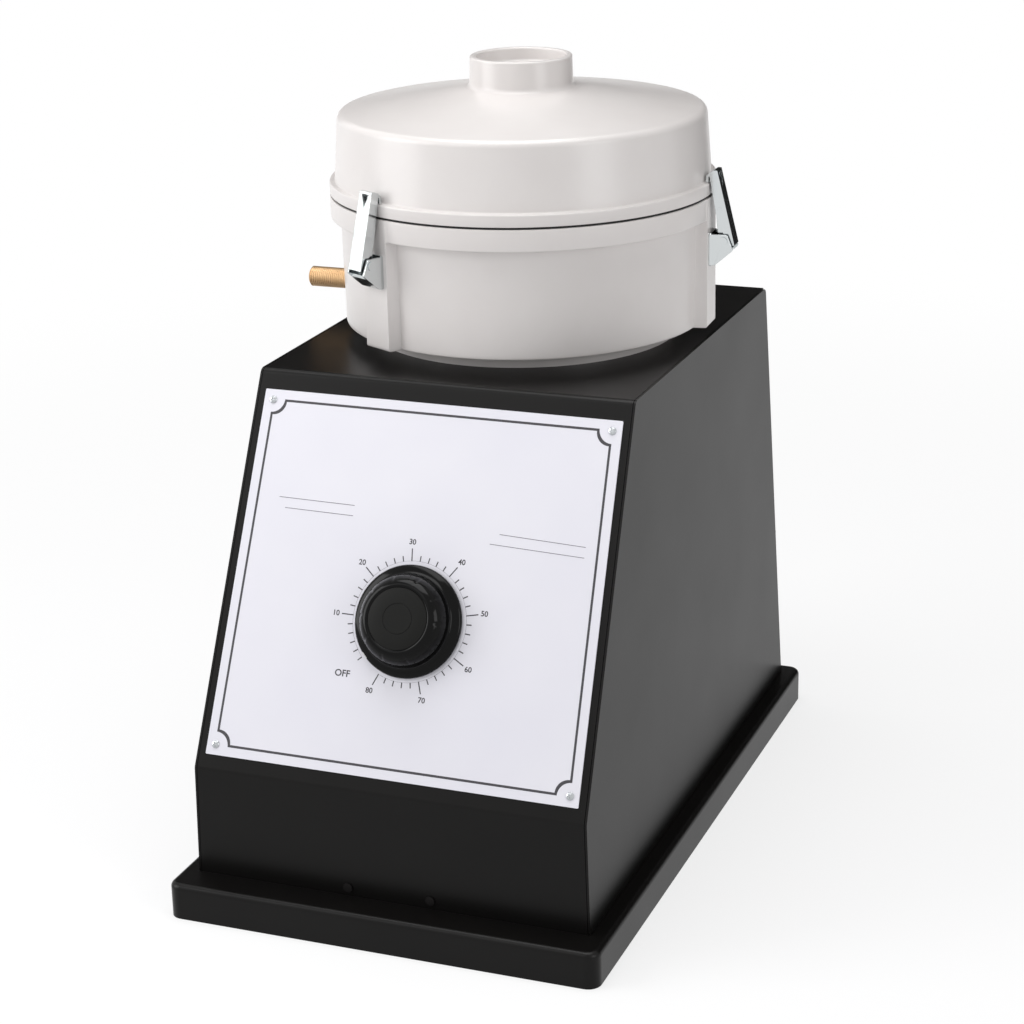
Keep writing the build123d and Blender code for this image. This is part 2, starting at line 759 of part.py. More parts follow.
for number, angle in enumerate(latch_angles, start=1):
    section = latch_plane(angle)

    with BuildPart() as bracket:
        plate_height = ear_top_z - ear_bottom_z + bracket_plate
        plate_middle_z = (ear_top_z + ear_bottom_z) / 2
        ear_foot = pad_face_radius + ear_reach * ear_foot_share
        ear_tip = (pad_face_radius + ear_reach, ear_top_z - ear_reach * ear_slant_share)
        ear_slope = (ear_tip[1] - ear_bottom_z) / (ear_tip[0] - ear_foot)
        scoop_end = pad_face_radius + scoop_reach
        scoop_floor_z = ear_bottom_z + scoop_rise
        with BuildSketch(face_plane(angle, pad_face_radius, plate_middle_z)):
            RectangleRounded(bracket_width, plate_height, bracket_plate)
        extrude(amount=bracket_plate)
        with BuildSketch(section.offset(-bracket_half)) as ear:
            with BuildLine():
                Polyline(
                    (pad_face_radius, ear_bottom_z),
                    (ear_foot, ear_bottom_z),
                    ear_tip,
                    (pad_face_radius + ear_reach * (1 - ear_foot_share), ear_top_z),
                    (pad_face_radius, ear_top_z),
                    close=True,
                )
            make_face()
            fillet(ear.vertices().sort_by(Axis.X)[2:], bracket_plate)
        extrude(amount=bracket_width)
        with BuildSketch(section.offset(-bracket_half + ear_thickness)):
            with BuildLine():
                Polyline(
                    (pad_face_radius + bracket_plate, scoop_floor_z),
                    (ear_foot, scoop_floor_z),
                    (scoop_end, scoop_floor_z + ear_slope * (scoop_end - ear_foot)),
                    (scoop_end, ear_bottom_z - scoop_rise),
                    (pad_face_radius + 2 * ear_reach, ear_bottom_z - scoop_rise),
                    (pad_face_radius + 2 * ear_reach, ear_top_z + scoop_rise),
                    (pad_face_radius + bracket_plate, ear_top_z + scoop_rise),
                    close=True,
                )
            make_face()
        extrude(amount=bracket_width - 2 * ear_thickness, mode=Mode.SUBTRACT)
        with BuildSketch(section.offset(-bracket_half)):
            with Locations(bracket_pin):
                Circle(latch_pin_radius)
        extrude(amount=bracket_width, mode=Mode.SUBTRACT)
        for rivet_z in (rivet_low_z, rivet_high_z):
            with BuildSketch(face_plane(angle, pad_face_radius, rivet_z)):
                Circle(rivet_radius)
            extrude(amount=bracket_plate, mode=Mode.SUBTRACT)
    save(bracket, f"latch_bracket_{number}")

    with BuildPart() as link:
        with BuildSketch(section):
            with Locations(bracket_pin):
                Circle(link_foot_radius)
            with Locations(lever_pin):
                Circle(link_head_radius)
            make_hull()
            with Locations(bracket_pin, lever_pin):
                Circle(latch_pin_radius + latch_running_gap, mode=Mode.SUBTRACT)
        extrude(amount=link_half, both=True)
    save(link, f"latch_link_{number}")

    with BuildPart() as lever:
        with BuildSketch(section):
            with BuildLine():
                Polyline(
                    lever_top,
                    lever_foot,
                    inward(lever_foot, lever_flange_low),
                    inward(along(lever_top, lever_pin_reach), lever_flange_high),
                    inward(lever_top, lever_flange_top),
                    close=True,
                )
            make_face()
        extrude(amount=lever_half, both=True)
        with BuildSketch(section):
            with BuildLine():
                Polyline(
                    inward(lever_top, lever_sheet),
                    inward(along(lever_foot, lever_open_end), lever_sheet),
                    inward(along(lever_foot, lever_open_end), 2 * lever_flange_high),
                    inward(along(lever_top, -lever_open_end), 2 * lever_flange_high),
                    inward(along(lever_top, -lever_open_end), lever_sheet),
                    close=True,
                )
            make_face()
        extrude(amount=lever_half - lever_sheet, both=True, mode=Mode.SUBTRACT)
        with BuildSketch(section):
            with BuildLine():
                Polyline(
                    lever_top,
                    (claw_reach_radius + 3 * claw_thickness, lever_top_z),
                    (claw_reach_radius, lever_top_z - 2 * claw_thickness),
                    (claw_reach_radius, claw_under_z),
                    (claw_reach_radius + claw_thickness, claw_under_z),
                    (claw_reach_radius + claw_thickness, lever_top_z - 2.5 * claw_thickness),
                    (claw_reach_radius + 3.4 * claw_thickness, lever_top_z - claw_thickness),
                    inward(along(lever_top, claw_thickness), lever_sheet),
                    along(lever_top, claw_thickness),
                    close=True,
                )
            make_face()
        extrude(amount=lever_half, both=True)
        slot_middle = along(lever_top, claw_thickness + lever_slot_height / 2)
        slot_plane = Plane(
            origin=section.from_local_coords(Vector(*slot_middle)),
            x_dir=section.z_dir,
            z_dir=section.x_dir * web_out[0] + Vector(0, 0, web_out[1]),
        )
        with BuildSketch(slot_plane):
            with BuildLine():
                Polyline(
                    (-lever_slot_width / 2, -lever_slot_height / 2),
                    (lever_slot_width / 2, -lever_slot_height / 2),
                    (0, lever_slot_height / 2),
                    close=True,
                )
            make_face()
        extrude(amount=lever_sheet, both=True, mode=Mode.SUBTRACT)
        with BuildSketch(section):
            with Locations(lever_pin):
                Circle(latch_pin_radius)
        extrude(amount=lever_half, both=True, mode=Mode.SUBTRACT)
    save(lever, f"latch_lever_{number}")

    with BuildPart() as lever_pin_part:
        with BuildSketch(section.offset(-lever_half)):
            with Locations(lever_pin):
                Circle(latch_pin_radius)
        extrude(amount=lever_width)
    save(lever_pin_part, f"latch_lever_pin_{number}")

with BuildPart() as latch_bracket_pins:
    for angle in latch_angles:
        section = latch_plane(angle)
        with BuildSketch(section.offset(-bracket_half)):
            with Locations(bracket_pin):
                Circle(latch_pin_radius)
        extrude(amount=bracket_width)
        for end in (-bracket_half - latch_pin_head, bracket_half):
            with BuildSketch(section.offset(end)):
                with Locations(bracket_pin):
                    Circle(latch_pin_head_radius)
            extrude(amount=latch_pin_head)
save(latch_bracket_pins, "latch_bracket_pins")

with BuildPart() as latch_rivets:
    for angle in latch_angles:
        for rivet_z in (rivet_low_z, rivet_high_z):
            with BuildSketch(face_plane(angle, pad_face_radius - rivet_depth, rivet_z)):
                Circle(rivet_radius)
            extrude(amount=rivet_depth + bracket_plate)
            with BuildSketch(face_plane(angle, pad_face_radius + bracket_plate, rivet_z)):
                Circle(rivet_head_radius)
            extrude(amount=rivet_head_height, taper=30)
save(latch_rivets, "latch_rivets")

# Motor hung from the deck plate
with BuildPart() as motor_case:
    with BuildSketch(Plane.XY.offset(motor_bottom_z + bell_height)):
        Circle(motor_radius)
        Circle(stator_radius, mode=Mode.SUBTRACT)
    extrude(amount=motor_height - 2 * bell_height)
save(motor_case, "motor_case")

with BuildPart() as motor_front_bell:
    with BuildSketch(Plane.XY.offset(motor_top_z - bell_height)):
        Circle(motor_radius)
        Circle(shaft_radius + shaft_bore_gap, mode=Mode.SUBTRACT)
    extrude(amount=bell_height)
    with BuildSketch(Plane.XY.offset(motor_top_z - bell_height)):
        Circle(bearing_outer_radius)
    extrude(amount=bearing_width, mode=Mode.SUBTRACT)
    with BuildSketch(Plane.XY.offset(motor_top_z - bell_height)):
        with PolarLocations(motor_bolt_circle, motor_bolt_count, start_angle=45):
            Circle(motor_bolt_radius)
    extrude(amount=bell_height, mode=Mode.SUBTRACT)
save(motor_front_bell, "motor_front_bell")

with BuildPart() as motor_rear_bell:
    with BuildSketch(Plane.XY.offset(motor_bottom_z)):
        Circle(motor_radius)
        Circle(shaft_radius + shaft_bore_gap, mode=Mode.SUBTRACT)
        with PolarLocations(motor_bolt_circle, bell_vent_count):
            Circle(bell_vent_radius, mode=Mode.SUBTRACT)
    extrude(amount=bell_height)
    with BuildSketch(Plane.XY.offset(motor_bottom_z + bell_height - bearing_width)):
        Circle(bearing_outer_radius)
    extrude(amount=bearing_width, mode=Mode.SUBTRACT)
save(motor_rear_bell, "motor_rear_bell")

with BuildPart() as motor_bolts:
    with BuildSketch(Plane.XY.offset(motor_top_z - bell_height)):
        with PolarLocations(motor_bolt_circle, motor_bolt_count, start_angle=45):
            Circle(motor_bolt_radius)
    extrude(amount=bell_height + deck_plate_thickness)
save(motor_bolts, "motor_bolts")

stator_bottom_z = (motor_top_z + motor_bottom_z - stator_height) / 2
with BuildPart() as stator_core:
    with BuildSketch(Plane.XY.offset(stator_bottom_z)):
        Circle(stator_radius)
        Circle(stator_bore_radius, mode=Mode.SUBTRACT)
    extrude(amount=stator_height)
save(stator_core, "stator_core")

with BuildPart() as stator_windings:
    for start_z in (stator_bottom_z - winding_height, stator_bottom_z + stator_height):
        with BuildSketch(Plane.XY.offset(start_z)):
            Circle(winding_outer_radius)
            Circle(winding_inner_radius, mode=Mode.SUBTRACT)
        extrude(amount=winding_height)
save(stator_windings, "stator_windings")

with BuildPart() as shaft_bearings:
    upper_z = motor_top_z - bell_height
    lower_z = motor_bottom_z + bell_height - bearing_width
    for start_z in (upper_z, lower_z):
        with BuildSketch(Plane.XY.offset(start_z)):
            Circle(bearing_outer_radius)
            Circle(shaft_radius + shaft_running_gap, mode=Mode.SUBTRACT)
        extrude(amount=bearing_width)
save(shaft_bearings, "shaft_bearings")

# Spindle and everything that spins with it
shaft_bottom_z = motor_bottom_z - shaft_tail
with BuildPart() as motor_shaft:
    with BuildSketch(Plane.XY.offset(shaft_bottom_z)):
        Circle(shaft_radius)
    extrude(amount=hub_top_z - shaft_bottom_z)
    with BuildSketch(Plane.XY.offset(hub_top_z)):
        Circle(stud_radius)
    extrude(amount=stud_top_z - hub_top_z)
    chamfer(motor_shaft.faces().sort_by(Axis.Z)[-1].edges(), stud_radius / 8)
save(motor_shaft, "motor_shaft")

with BuildPart() as rotor_core:
    with BuildSketch(Plane.XY.offset(stator_bottom_z)):
        Circle(stator_bore_radius - air_gap)
        Circle(shaft_radius, mode=Mode.SUBTRACT)
    extrude(amount=stator_height)
save(rotor_core, "rotor_core")

with BuildPart() as cooling_fan:
    with BuildSketch(Plane.XY.offset(shaft_bottom_z)):
        Circle(fan_radius)
        Circle(shaft_radius, mode=Mode.SUBTRACT)
    extrude(amount=fan_thickness)
    with BuildSketch(Plane.XY.offset(shaft_bottom_z + fan_thickness)):
        with PolarLocations((fan_radius + 2 * shaft_radius) / 2, fan_blade_count):
            Rectangle(fan_radius - 2 * shaft_radius, fan_thickness)
    extrude(amount=fan_blade_height)
    with BuildSketch(Plane.XY.offset(shaft_bottom_z + fan_thickness)):
        Circle(1.5 * shaft_radius)
        Circle(shaft_radius, mode=Mode.SUBTRACT)
    extrude(amount=fan_blade_height)
save(cooling_fan, "cooling_fan")

with BuildPart() as bowl_hub:
    hub_under_z = hub_top_z - hub_flange_thickness
    slinger_radius = collar_radius + slinger_gap
    with BuildSketch(Plane.XY.offset(hub_under_z)):
        Circle(hub_flange_radius)
        Circle(shaft_radius, mode=Mode.SUBTRACT)
    extrude(amount=hub_flange_thickness)
    with BuildSketch(Plane.XY.offset(hub_under_z - slinger_drop)):
        Circle(slinger_radius + slinger_wall)
        Circle(slinger_radius, mode=Mode.SUBTRACT)
    extrude(amount=slinger_drop)
save(bowl_hub, "bowl_hub")

bowl_top_z = bowl_rim_z + bowl_rim_thickness
bowl_floor_edge = bowl_floor_radius - bowl_wall / 2
with BuildPart() as bowl_floor:
    with BuildSketch(Plane.XY.offset(hub_top_z)):
        Circle(bowl_floor_edge)
        Circle(stud_radius, mode=Mode.SUBTRACT)
    extrude(amount=bowl_wall)
save(bowl_floor, "bowl_floor")

with BuildPart() as rotor_bowl:
    with BuildSketch(Plane.XZ):
        with BuildLine():
            Polyline(
                (bowl_floor_edge, hub_top_z),
                (bowl_floor_radius, hub_top_z),
                (bowl_rim_radius - bowl_wall, bowl_rim_z),
                (bowl_rim_radius, bowl_rim_z),
                (bowl_rim_radius, bowl_top_z),
                (bowl_rim_inner_radius, bowl_top_z),
                (bowl_rim_inner_radius, bowl_rim_z - bowl_wall / 2),
                (bowl_floor_edge, hub_top_z + bowl_wall),
                close=True,
            )
        make_face()
    revolve(axis=Axis.Z)
save(rotor_bowl, "rotor_bowl")

with BuildPart() as filter_ring:
    with BuildSketch(Plane.XY.offset(bowl_top_z)):
        Circle(bowl_rim_radius)
        Circle(bowl_rim_inner_radius, mode=Mode.SUBTRACT)
    extrude(amount=filter_thickness)
save(filter_ring, "filter_ring")

with BuildPart() as bowl_cover:
    cover_rim_top_z = bowl_cover_z + cover_rim_thickness
    with BuildSketch(Plane.XZ):
        with BuildLine():
            Polyline(
                (stud_radius + cover_bore_gap, cover_top_z - cover_wall),
                (cover_top_radius, cover_top_z - cover_wall),
                (bowl_rim_inner_radius, bowl_cover_z),
                (bowl_rim_radius, bowl_cover_z),
                (bowl_rim_radius, cover_rim_top_z),
                (bowl_rim_inner_radius + cover_wall, cover_rim_top_z),
                (cover_top_radius + cover_wall, cover_top_z),
                (stud_radius + cover_bore_gap, cover_top_z),
                close=True,
            )
        make_face()
    revolve(axis=Axis.Z)
    with BuildSketch(Plane.XY.offset(bowl_cover_z)):
        with PolarLocations(feed_hole_circle, feed_hole_count):
            Circle(feed_hole_radius)
    extrude(amount=cover_top_z - bowl_cover_z, mode=Mode.SUBTRACT)
save(bowl_cover, "bowl_cover")

with BuildPart() as clamp_nut:
    with BuildSketch(Plane.XY.offset(nut_z)):
        Circle(nut_radius)
        with PolarLocations(nut_radius + nut_flute_radius / 2, nut_flute_count):
            Circle(nut_flute_radius, mode=Mode.SUBTRACT)
        Circle(stud_radius + shaft_running_gap, mode=Mode.SUBTRACT)
    extrude(amount=nut_height)
save(clamp_nut, "clamp_nut")

# Dial plate and its four screws on the sloped panel
def plate_half_width(x_height):
    """Half the dial plate's width at a height up the panel."""
    return half_width(kink_z + x_height * slope_rise / slope_length) - plate_margin_side


plate_corners = [
    (-plate_half_width(plate_bottom), plate_bottom),
    (plate_half_width(plate_bottom), plate_bottom),
    (plate_half_width(plate_top), plate_top),
    (-plate_half_width(plate_top), plate_top),
]
plate_screw_points = [
    (
        side * (plate_half_width(height) - plate_screw_inset_x),
        height + step * plate_screw_inset_y,
    )
    for side in (-1, 1)
    for height, step in ((plate_bottom, 1), (plate_top, -1))
]
with BuildPart() as dial_plate:
    with BuildSketch(panel_plane) as plate_outline:
        with BuildLine():
            Polyline(*plate_corners, close=True)
        make_face()
        fillet(plate_outline.vertices(), plate_corner_radius)
        with Locations((0, dial_height)):
            Circle(panel_bush_radius, mode=Mode.SUBTRACT)
        with Locations(*plate_screw_points):
            Circle(plate_screw_radius, mode=Mode.SUBTRACT)
    extrude(amount=plate_thickness)
save(dial_plate, "dial_plate")

with BuildPart() as plate_screws:
    with BuildSketch(panel_plane):
        with Locations(*plate_screw_points):
            Circle(plate_screw_radius)
    extrude(amount=plate_thickness)
    with BuildSketch(panel_plane.offset(plate_thickness)):
        with Locations(*plate_screw_points):
            Circle(plate_screw_head_radius)
    extrude(amount=plate_screw_head_height, taper=30)
save(plate_screws, "plate_screws")

# Speed knob with its cap, shaft, bush and variable transformer
dial_plane = on_panel(0, dial_height)
knob_foot = plate_thickness + knob_gap
dial_section = Plane(origin=dial_plane.origin, x_dir=(1, 0, 0), z_dir=-dial_plane.y_dir)
index_turn = radians(index_angle)
with BuildPart() as speed_knob:
    with BuildSketch(dial_section) as knob_section:
        with BuildLine():
            Polyline(
                (0, knob_foot),
                (knob_skirt_radius, knob_foot),
                (knob_skirt_radius, knob_foot + knob_skirt_edge),
                (knob_ring_radius, knob_ring_height),
            )
            ThreePointArc(
                (knob_ring_radius, knob_ring_height),
                (
                    knob_body_top_radius + 0.72 * (knob_ring_radius - knob_body_top_radius),
                    knob_ring_height + 0.68 * (knob_height - knob_ring_height),
                ),
                (knob_body_top_radius, knob_height),
            )
            Polyline((knob_body_top_radius, knob_height), (0, knob_height), (0, knob_foot))
        make_face()
    revolve(axis=Axis(dial_plane.origin, dial_plane.z_dir))
    with BuildSketch(dial_plane.offset(knob_flute_floor)):
        with PolarLocations(knob_flute_circle, knob_flute_count, start_angle=180 / knob_flute_count):
            Circle(knob_flute_radius)
    extrude(amount=knob_height, mode=Mode.SUBTRACT)
    with BuildSketch(dial_plane.offset(knob_height - knob_cap_height)):
        Circle(knob_cap_radius)
    extrude(amount=2 * knob_cap_height, mode=Mode.SUBTRACT)
    with BuildSketch(dial_plane.offset(knob_foot)):
        Circle(knob_shaft_radius)
    extrude(amount=knob_shaft_depth, mode=Mode.SUBTRACT)
    with BuildSketch(dial_plane.offset(knob_ring_height - 3 * index_depth)):
        with Locations(
            Location(
                (
                    knob_skirt_radius * sin(index_turn),
                    knob_skirt_radius * cos(index_turn),
                ),
                90 - index_angle,
            )
        ):
            Rectangle(2 * (knob_skirt_radius - knob_ring_radius - index_depth), index_width)
    extrude(amount=knob_height, mode=Mode.SUBTRACT)
save(speed_knob, "speed_knob")

with BuildPart() as knob_cap:
    with BuildSketch(dial_plane.offset(knob_height - knob_cap_height)):
        Circle(knob_cap_radius)
    extrude(amount=knob_cap_height)
save(knob_cap, "knob_cap")

shaft_end = -(sheet + variac_frame_thickness + 3 * variac_gap + variac_height + brush_arm_thickness)
with BuildPart() as knob_shaft:
    with BuildSketch(dial_plane.offset(shaft_end)):
        Circle(knob_shaft_radius)
    extrude(amount=knob_foot + knob_shaft_depth - shaft_end)
save(knob_shaft, "knob_shaft")

with BuildPart() as panel_bush:
    with BuildSketch(dial_plane.offset(-sheet - panel_nut_thickness)):
        Circle(panel_nut_radius)
    extrude(amount=panel_nut_thickness)
    with BuildSketch(dial_plane.offset(-sheet)):
        Circle(panel_bush_radius)
    extrude(amount=sheet + plate_thickness)
    with BuildSketch(dial_plane.offset(-sheet - panel_nut_thickness)):
        Circle(knob_shaft_radius + shaft_running_gap)
    extrude(amount=sheet + plate_thickness + panel_nut_thickness, mode=Mode.SUBTRACT)
save(panel_bush, "panel_bush")

frame_back = -sheet - variac_frame_thickness
coil_front = frame_back - variac_gap
coil_back = coil_front - variac_height
with BuildPart() as variac_frame:
    with BuildSketch(dial_plane.offset(frame_back)):
        Circle(variac_frame_radius)
        Circle(panel_nut_radius, mode=Mode.SUBTRACT)
    extrude(amount=variac_frame_thickness)
    with BuildSketch(dial_plane.offset(coil_front)):
        Circle(variac_coil_outer)
        Circle(panel_nut_radius, mode=Mode.SUBTRACT)
    extrude(amount=variac_gap)
    with BuildSketch(dial_plane.offset(coil_back)):
        Circle(variac_hub_radius)
        Circle(knob_shaft_radius + shaft_running_gap, mode=Mode.SUBTRACT)
    extrude(amount=variac_height)
save(variac_frame, "variac_frame")

with BuildPart() as variac_coil:
    with BuildSketch(dial_plane.offset(coil_back)):
        Circle(variac_coil_outer)
        Circle(variac_hub_radius, mode=Mode.SUBTRACT)
    extrude(amount=variac_height)
    coil_rims = variac_coil.edges().filter_by(GeomType.CIRCLE).sort_by(SortBy.RADIUS)[-2:]
    fillet(coil_rims, variac_gap)
save(variac_coil, "variac_coil")

with BuildPart() as brush_arm:
    with BuildSketch(dial_plane.offset(shaft_end)):
        Circle(2 * knob_shaft_radius)
        with Locations((brush_circle / 2, 0)):
            Rectangle(brush_circle, brush_arm_width)
        with Locations((brush_circle, 0)):
            Circle(brush_arm_width / 2)
        Circle(knob_shaft_radius, mode=Mode.SUBTRACT)
    extrude(amount=brush_arm_thickness)
    with BuildSketch(dial_plane.offset(shaft_end + brush_arm_thickness)):
        with Locations((brush_circle, 0)):
            Circle(brush_radius)
    extrude(amount=coil_back - brush_gap - shaft_end - brush_arm_thickness)
save(brush_arm, "brush_arm")

# Electrics at the rear and on the tray
with BuildPart() as power_inlet:
    with BuildSketch(rear_plane):
        with Locations((inlet_offset, inlet_height)):
            RectangleRounded(inlet_width + inlet_lip, inlet_tall + inlet_lip, inlet_lip / 2)
    extrude(amount=inlet_lip / 2)
    with BuildSketch(rear_plane.offset(-inlet_depth)):
        with Locations((inlet_offset, inlet_height)):
            Rectangle(inlet_width, inlet_tall)
    extrude(amount=inlet_depth)
    with BuildSketch(rear_plane.offset(inlet_lip / 2)):
        with Locations((inlet_offset, inlet_height)):
            RectangleRounded(inlet_width - inlet_lip, inlet_tall - inlet_lip, inlet_lip / 2)
    extrude(amount=-inlet_depth * 0.75, mode=Mode.SUBTRACT)
    with BuildSketch(rear_plane.offset(-inlet_depth * 0.75)):
        with Locations((inlet_offset, inlet_height)):
            with GridLocations(inlet_pin_spacing, 0, 3, 1):
                Rectangle(inlet_pin_width, 2 * inlet_pin_width)
    extrude(amount=inlet_depth * 0.6)
save(power_inlet, "power_inlet")

with BuildPart() as fuse_holder:
    with BuildSketch(rear_plane.offset(-inlet_depth)):
        with Locations((fuse_offset, inlet_height)):
            Circle(fuse_radius)
    extrude(amount=inlet_depth)
    with BuildSketch(rear_plane):
        with Locations((fuse_offset, inlet_height)):
            Circle(fuse_radius + inlet_lip / 2)
    extrude(amount=2 * inlet_lip)
    with BuildSketch(rear_plane.offset(2 * inlet_lip)):
        with Locations((fuse_offset, inlet_height)):
            Rectangle(2 * fuse_radius, fuse_slot)
    extrude(amount=-fuse_slot, mode=Mode.SUBTRACT)
save(fuse_holder, "fuse_holder")

with BuildPart() as terminal_block:
    with BuildSketch(Plane.XY.offset(base_height)):
        with Locations((0, terminal_y)):
            Rectangle(terminal_count * terminal_pitch, terminal_depth)
    extrude(amount=terminal_height)
    with BuildSketch(Plane.XY.offset(base_height + terminal_height)):
        with Locations((0, terminal_y)):
            with GridLocations(terminal_pitch, terminal_depth / 2, terminal_count, 2):
                Circle(terminal_pitch / 4)
    extrude(amount=-terminal_height / 2, mode=Mode.SUBTRACT)
save(terminal_block, "terminal_block")

resistor_z = base_height + 2 * resistor_radius
with BuildPart() as brake_resistor:
    with BuildSketch(Plane.YZ.offset(-resistor_length / 2)):
        with Locations((resistor_y, resistor_z)):
            Circle(resistor_radius)
    extrude(amount=resistor_length)
    for end_x in (-resistor_length / 2, resistor_length / 2 - resistor_foot):
        with BuildSketch(Plane.YZ.offset(end_x)):
            with Locations((resistor_y, base_height + resistor_radius)):
                Rectangle(2 * resistor_radius, 2 * resistor_radius)
        extrude(amount=resistor_foot)
save(brake_resistor, "brake_resistor")
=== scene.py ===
"""Bench centrifuge extractor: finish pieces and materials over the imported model."""
import json
from math import cos, hypot, pi, radians, sin

import bpy
from mathutils import Matrix, Vector


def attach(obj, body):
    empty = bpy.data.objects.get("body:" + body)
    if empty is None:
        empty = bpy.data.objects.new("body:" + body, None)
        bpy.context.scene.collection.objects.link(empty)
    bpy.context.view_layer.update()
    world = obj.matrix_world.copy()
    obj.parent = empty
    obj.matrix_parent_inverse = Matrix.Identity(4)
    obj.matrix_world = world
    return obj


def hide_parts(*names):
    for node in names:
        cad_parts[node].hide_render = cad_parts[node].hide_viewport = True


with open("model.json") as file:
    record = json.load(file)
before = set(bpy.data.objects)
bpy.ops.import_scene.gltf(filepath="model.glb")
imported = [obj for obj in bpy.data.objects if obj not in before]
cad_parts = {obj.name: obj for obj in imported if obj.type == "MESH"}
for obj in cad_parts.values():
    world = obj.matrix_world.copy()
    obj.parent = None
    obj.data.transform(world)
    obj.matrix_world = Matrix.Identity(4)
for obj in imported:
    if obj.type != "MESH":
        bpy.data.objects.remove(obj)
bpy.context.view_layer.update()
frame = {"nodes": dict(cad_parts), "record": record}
bpy.context.scene.view_settings.view_transform = "Standard"
MM = 0.001


# Colours and nodes
def colour(hex_code):
    """An sRGB hex value as linear red, green, blue and alpha."""
    parts = [int(hex_code[i : i + 2], 16) / 255 for i in (1, 3, 5)]
    return [p / 12.92 if p <= 0.04045 else ((p + 0.055) / 1.055) ** 2.4 for p in parts] + [1.0]


def add_node(material, kind, settings=None, inputs=None):
    """Adds a node, sets its properties, and sets or links its inputs."""
    new = material.node_tree.nodes.new(kind)
    for name, value in (settings or {}).items():
        setattr(new, name, value)
    for socket, value in (inputs or {}).items():
        if isinstance(value, bpy.types.NodeSocket):
            material.node_tree.links.new(value, new.inputs[socket])
        else:
            new.inputs[socket].default_value = value
    return new


def new_material(name, base, roughness, metallic=0.0, **sockets):
    """A material with its shader, and the object coordinates its patterns use."""
    material = bpy.data.materials.new(name)
    material.use_nodes = True
    shader = material.node_tree.nodes["Principled BSDF"]
    shader.inputs["Base Color"].default_value = colour(base)
    shader.inputs["Roughness"].default_value = roughness
    shader.inputs["Metallic"].default_value = metallic
    for name, value in sockets.items():
        shader.inputs[name.replace("_", " ")].default_value = value
    place = add_node(material, "ShaderNodeTexCoord").outputs["Object"]
    return material, shader, place


def vary_colour(material, shader, factor, low, high):
    """Runs the base colour between two values by a pattern."""
    mix = add_node(
        material,
        "ShaderNodeMix",
        {"data_type": "RGBA"},
        {0: factor, 6: colour(low), 7: colour(high)},
    )
    material.node_tree.links.new(mix.outputs[2], shader.inputs["Base Color"])


def vary_roughness(material, shader, factor, low, high):
    """Runs the roughness between two values by a pattern."""
    span = add_node(
        material, "ShaderNodeMapRange", None, {"Value": factor, "To Min": low, "To Max": high}
    )
    material.node_tree.links.new(span.outputs[0], shader.inputs["Roughness"])


def raise_surface(material, shader, height, depth, strength=1.0):
    """Bumps the surface by a pattern, to a depth in metres."""
    bump = add_node(
        material,
        "ShaderNodeBump",
        None,
        {"Height": height, "Distance": depth, "Strength": strength},
    )
    material.node_tree.links.new(bump.outputs[0], shader.inputs["Normal"])


def noise(material, place, size_mm, detail=2.0, stretch=None):
    """Noise with features of a real size in millimetres, stretched if asked."""
    if stretch:
        place = add_node(
            material, "ShaderNodeMapping", None, {"Vector": place, "Scale": stretch}
        ).outputs[0]
    return add_node(
        material,
        "ShaderNodeTexNoise",
        None,
        {"Vector": place, "Scale": 1 / (size_mm * MM), "Detail": detail},
    ).outputs["Fac"]


def baked_enamel():
    """Black baked enamel on sheet steel: sprayed, satin, with a fine orange peel."""
    material, shader, place = new_material(
        "black_baked_enamel", "#0a0909", 0.33, IOR=1.5, Specular_IOR_Level=0.16
    )
    cloud = noise(material, place, 60, 3)
    vary_colour(material, shader, cloud, "#070606", "#0e0d0c")
    vary_roughness(material, shader, cloud, 0.29, 0.36)
    raise_surface(material, shader, noise(material, place, 1.6), 0.00006, 0.35)
    return material


def painted_casting():
    """Light grey enamel on a fettled aluminium casting: smooth gloss over soft unevenness."""
    material, shader, place = new_material(
        "light_grey_casting_enamel", "#d6d2d0", 0.3, IOR=1.5, Coat_Weight=0.2, Coat_Roughness=0.18
    )
    cloud = noise(material, place, 35, 3)
    vary_colour(material, shader, cloud, "#d2cdcb", "#dad6d4")
    vary_roughness(material, shader, noise(material, place, 9), 0.27, 0.36)
    raise_surface(material, shader, noise(material, place, 5, 4), 0.00018, 0.3)
    return material


def anodised_plate():
    """Clear anodised aluminium label plate: pale, satin, with a faint rolled grain."""
    material, shader, place = new_material("satin_anodised_plate", "#d4d3da", 0.36, 0.12)
    grain = noise(material, place, 0.35, 3, (0.02, 1, 1))
    vary_colour(material, shader, noise(material, place, 70, 2), "#d0cfd8", "#d9d8de")
    vary_roughness(material, shader, grain, 0.3, 0.4)
    raise_surface(material, shader, grain, 0.000015, 0.4)
    return material


def chrome_plate():
    """Bright chrome on pressed steel: a mirror over slightly uneven pressings."""
    material, shader, place = new_material("chrome_plated_steel", "#cfd3d4", 0.12, 1.0)
    vary_roughness(material, shader, noise(material, place, 6, 4), 0.09, 0.16)
    raise_surface(material, shader, noise(material, place, 9, 2), 0.00002, 0.2)
    return material


def dulled_brass():
    """Drawn brass tube, dulled in the hand: a warm metal, a little uneven in tone."""
    material, shader, place = new_material("drawn_brass", "#d8b68e", 0.26, 1.0)
    vary_colour(material, shader, noise(material, place, 14, 2), "#cfaa7c", "#e0c19a")
    vary_roughness(material, shader, noise(material, place, 9, 2), 0.36, 0.44)
    return material


def phenolic():
    """Moulded black phenolic: deep gloss with faint mould flow."""
    material, shader, place = new_material(
        "black_phenolic_moulding", "#050505", 0.12, IOR=1.5, Specular_IOR_Level=0.13
    )
    vary_roughness(material, shader, noise(material, place, 4, 3), 0.08, 0.14)
    raise_surface(material, shader, noise(material, place, 3), 0.00004, 0.25)
    return material


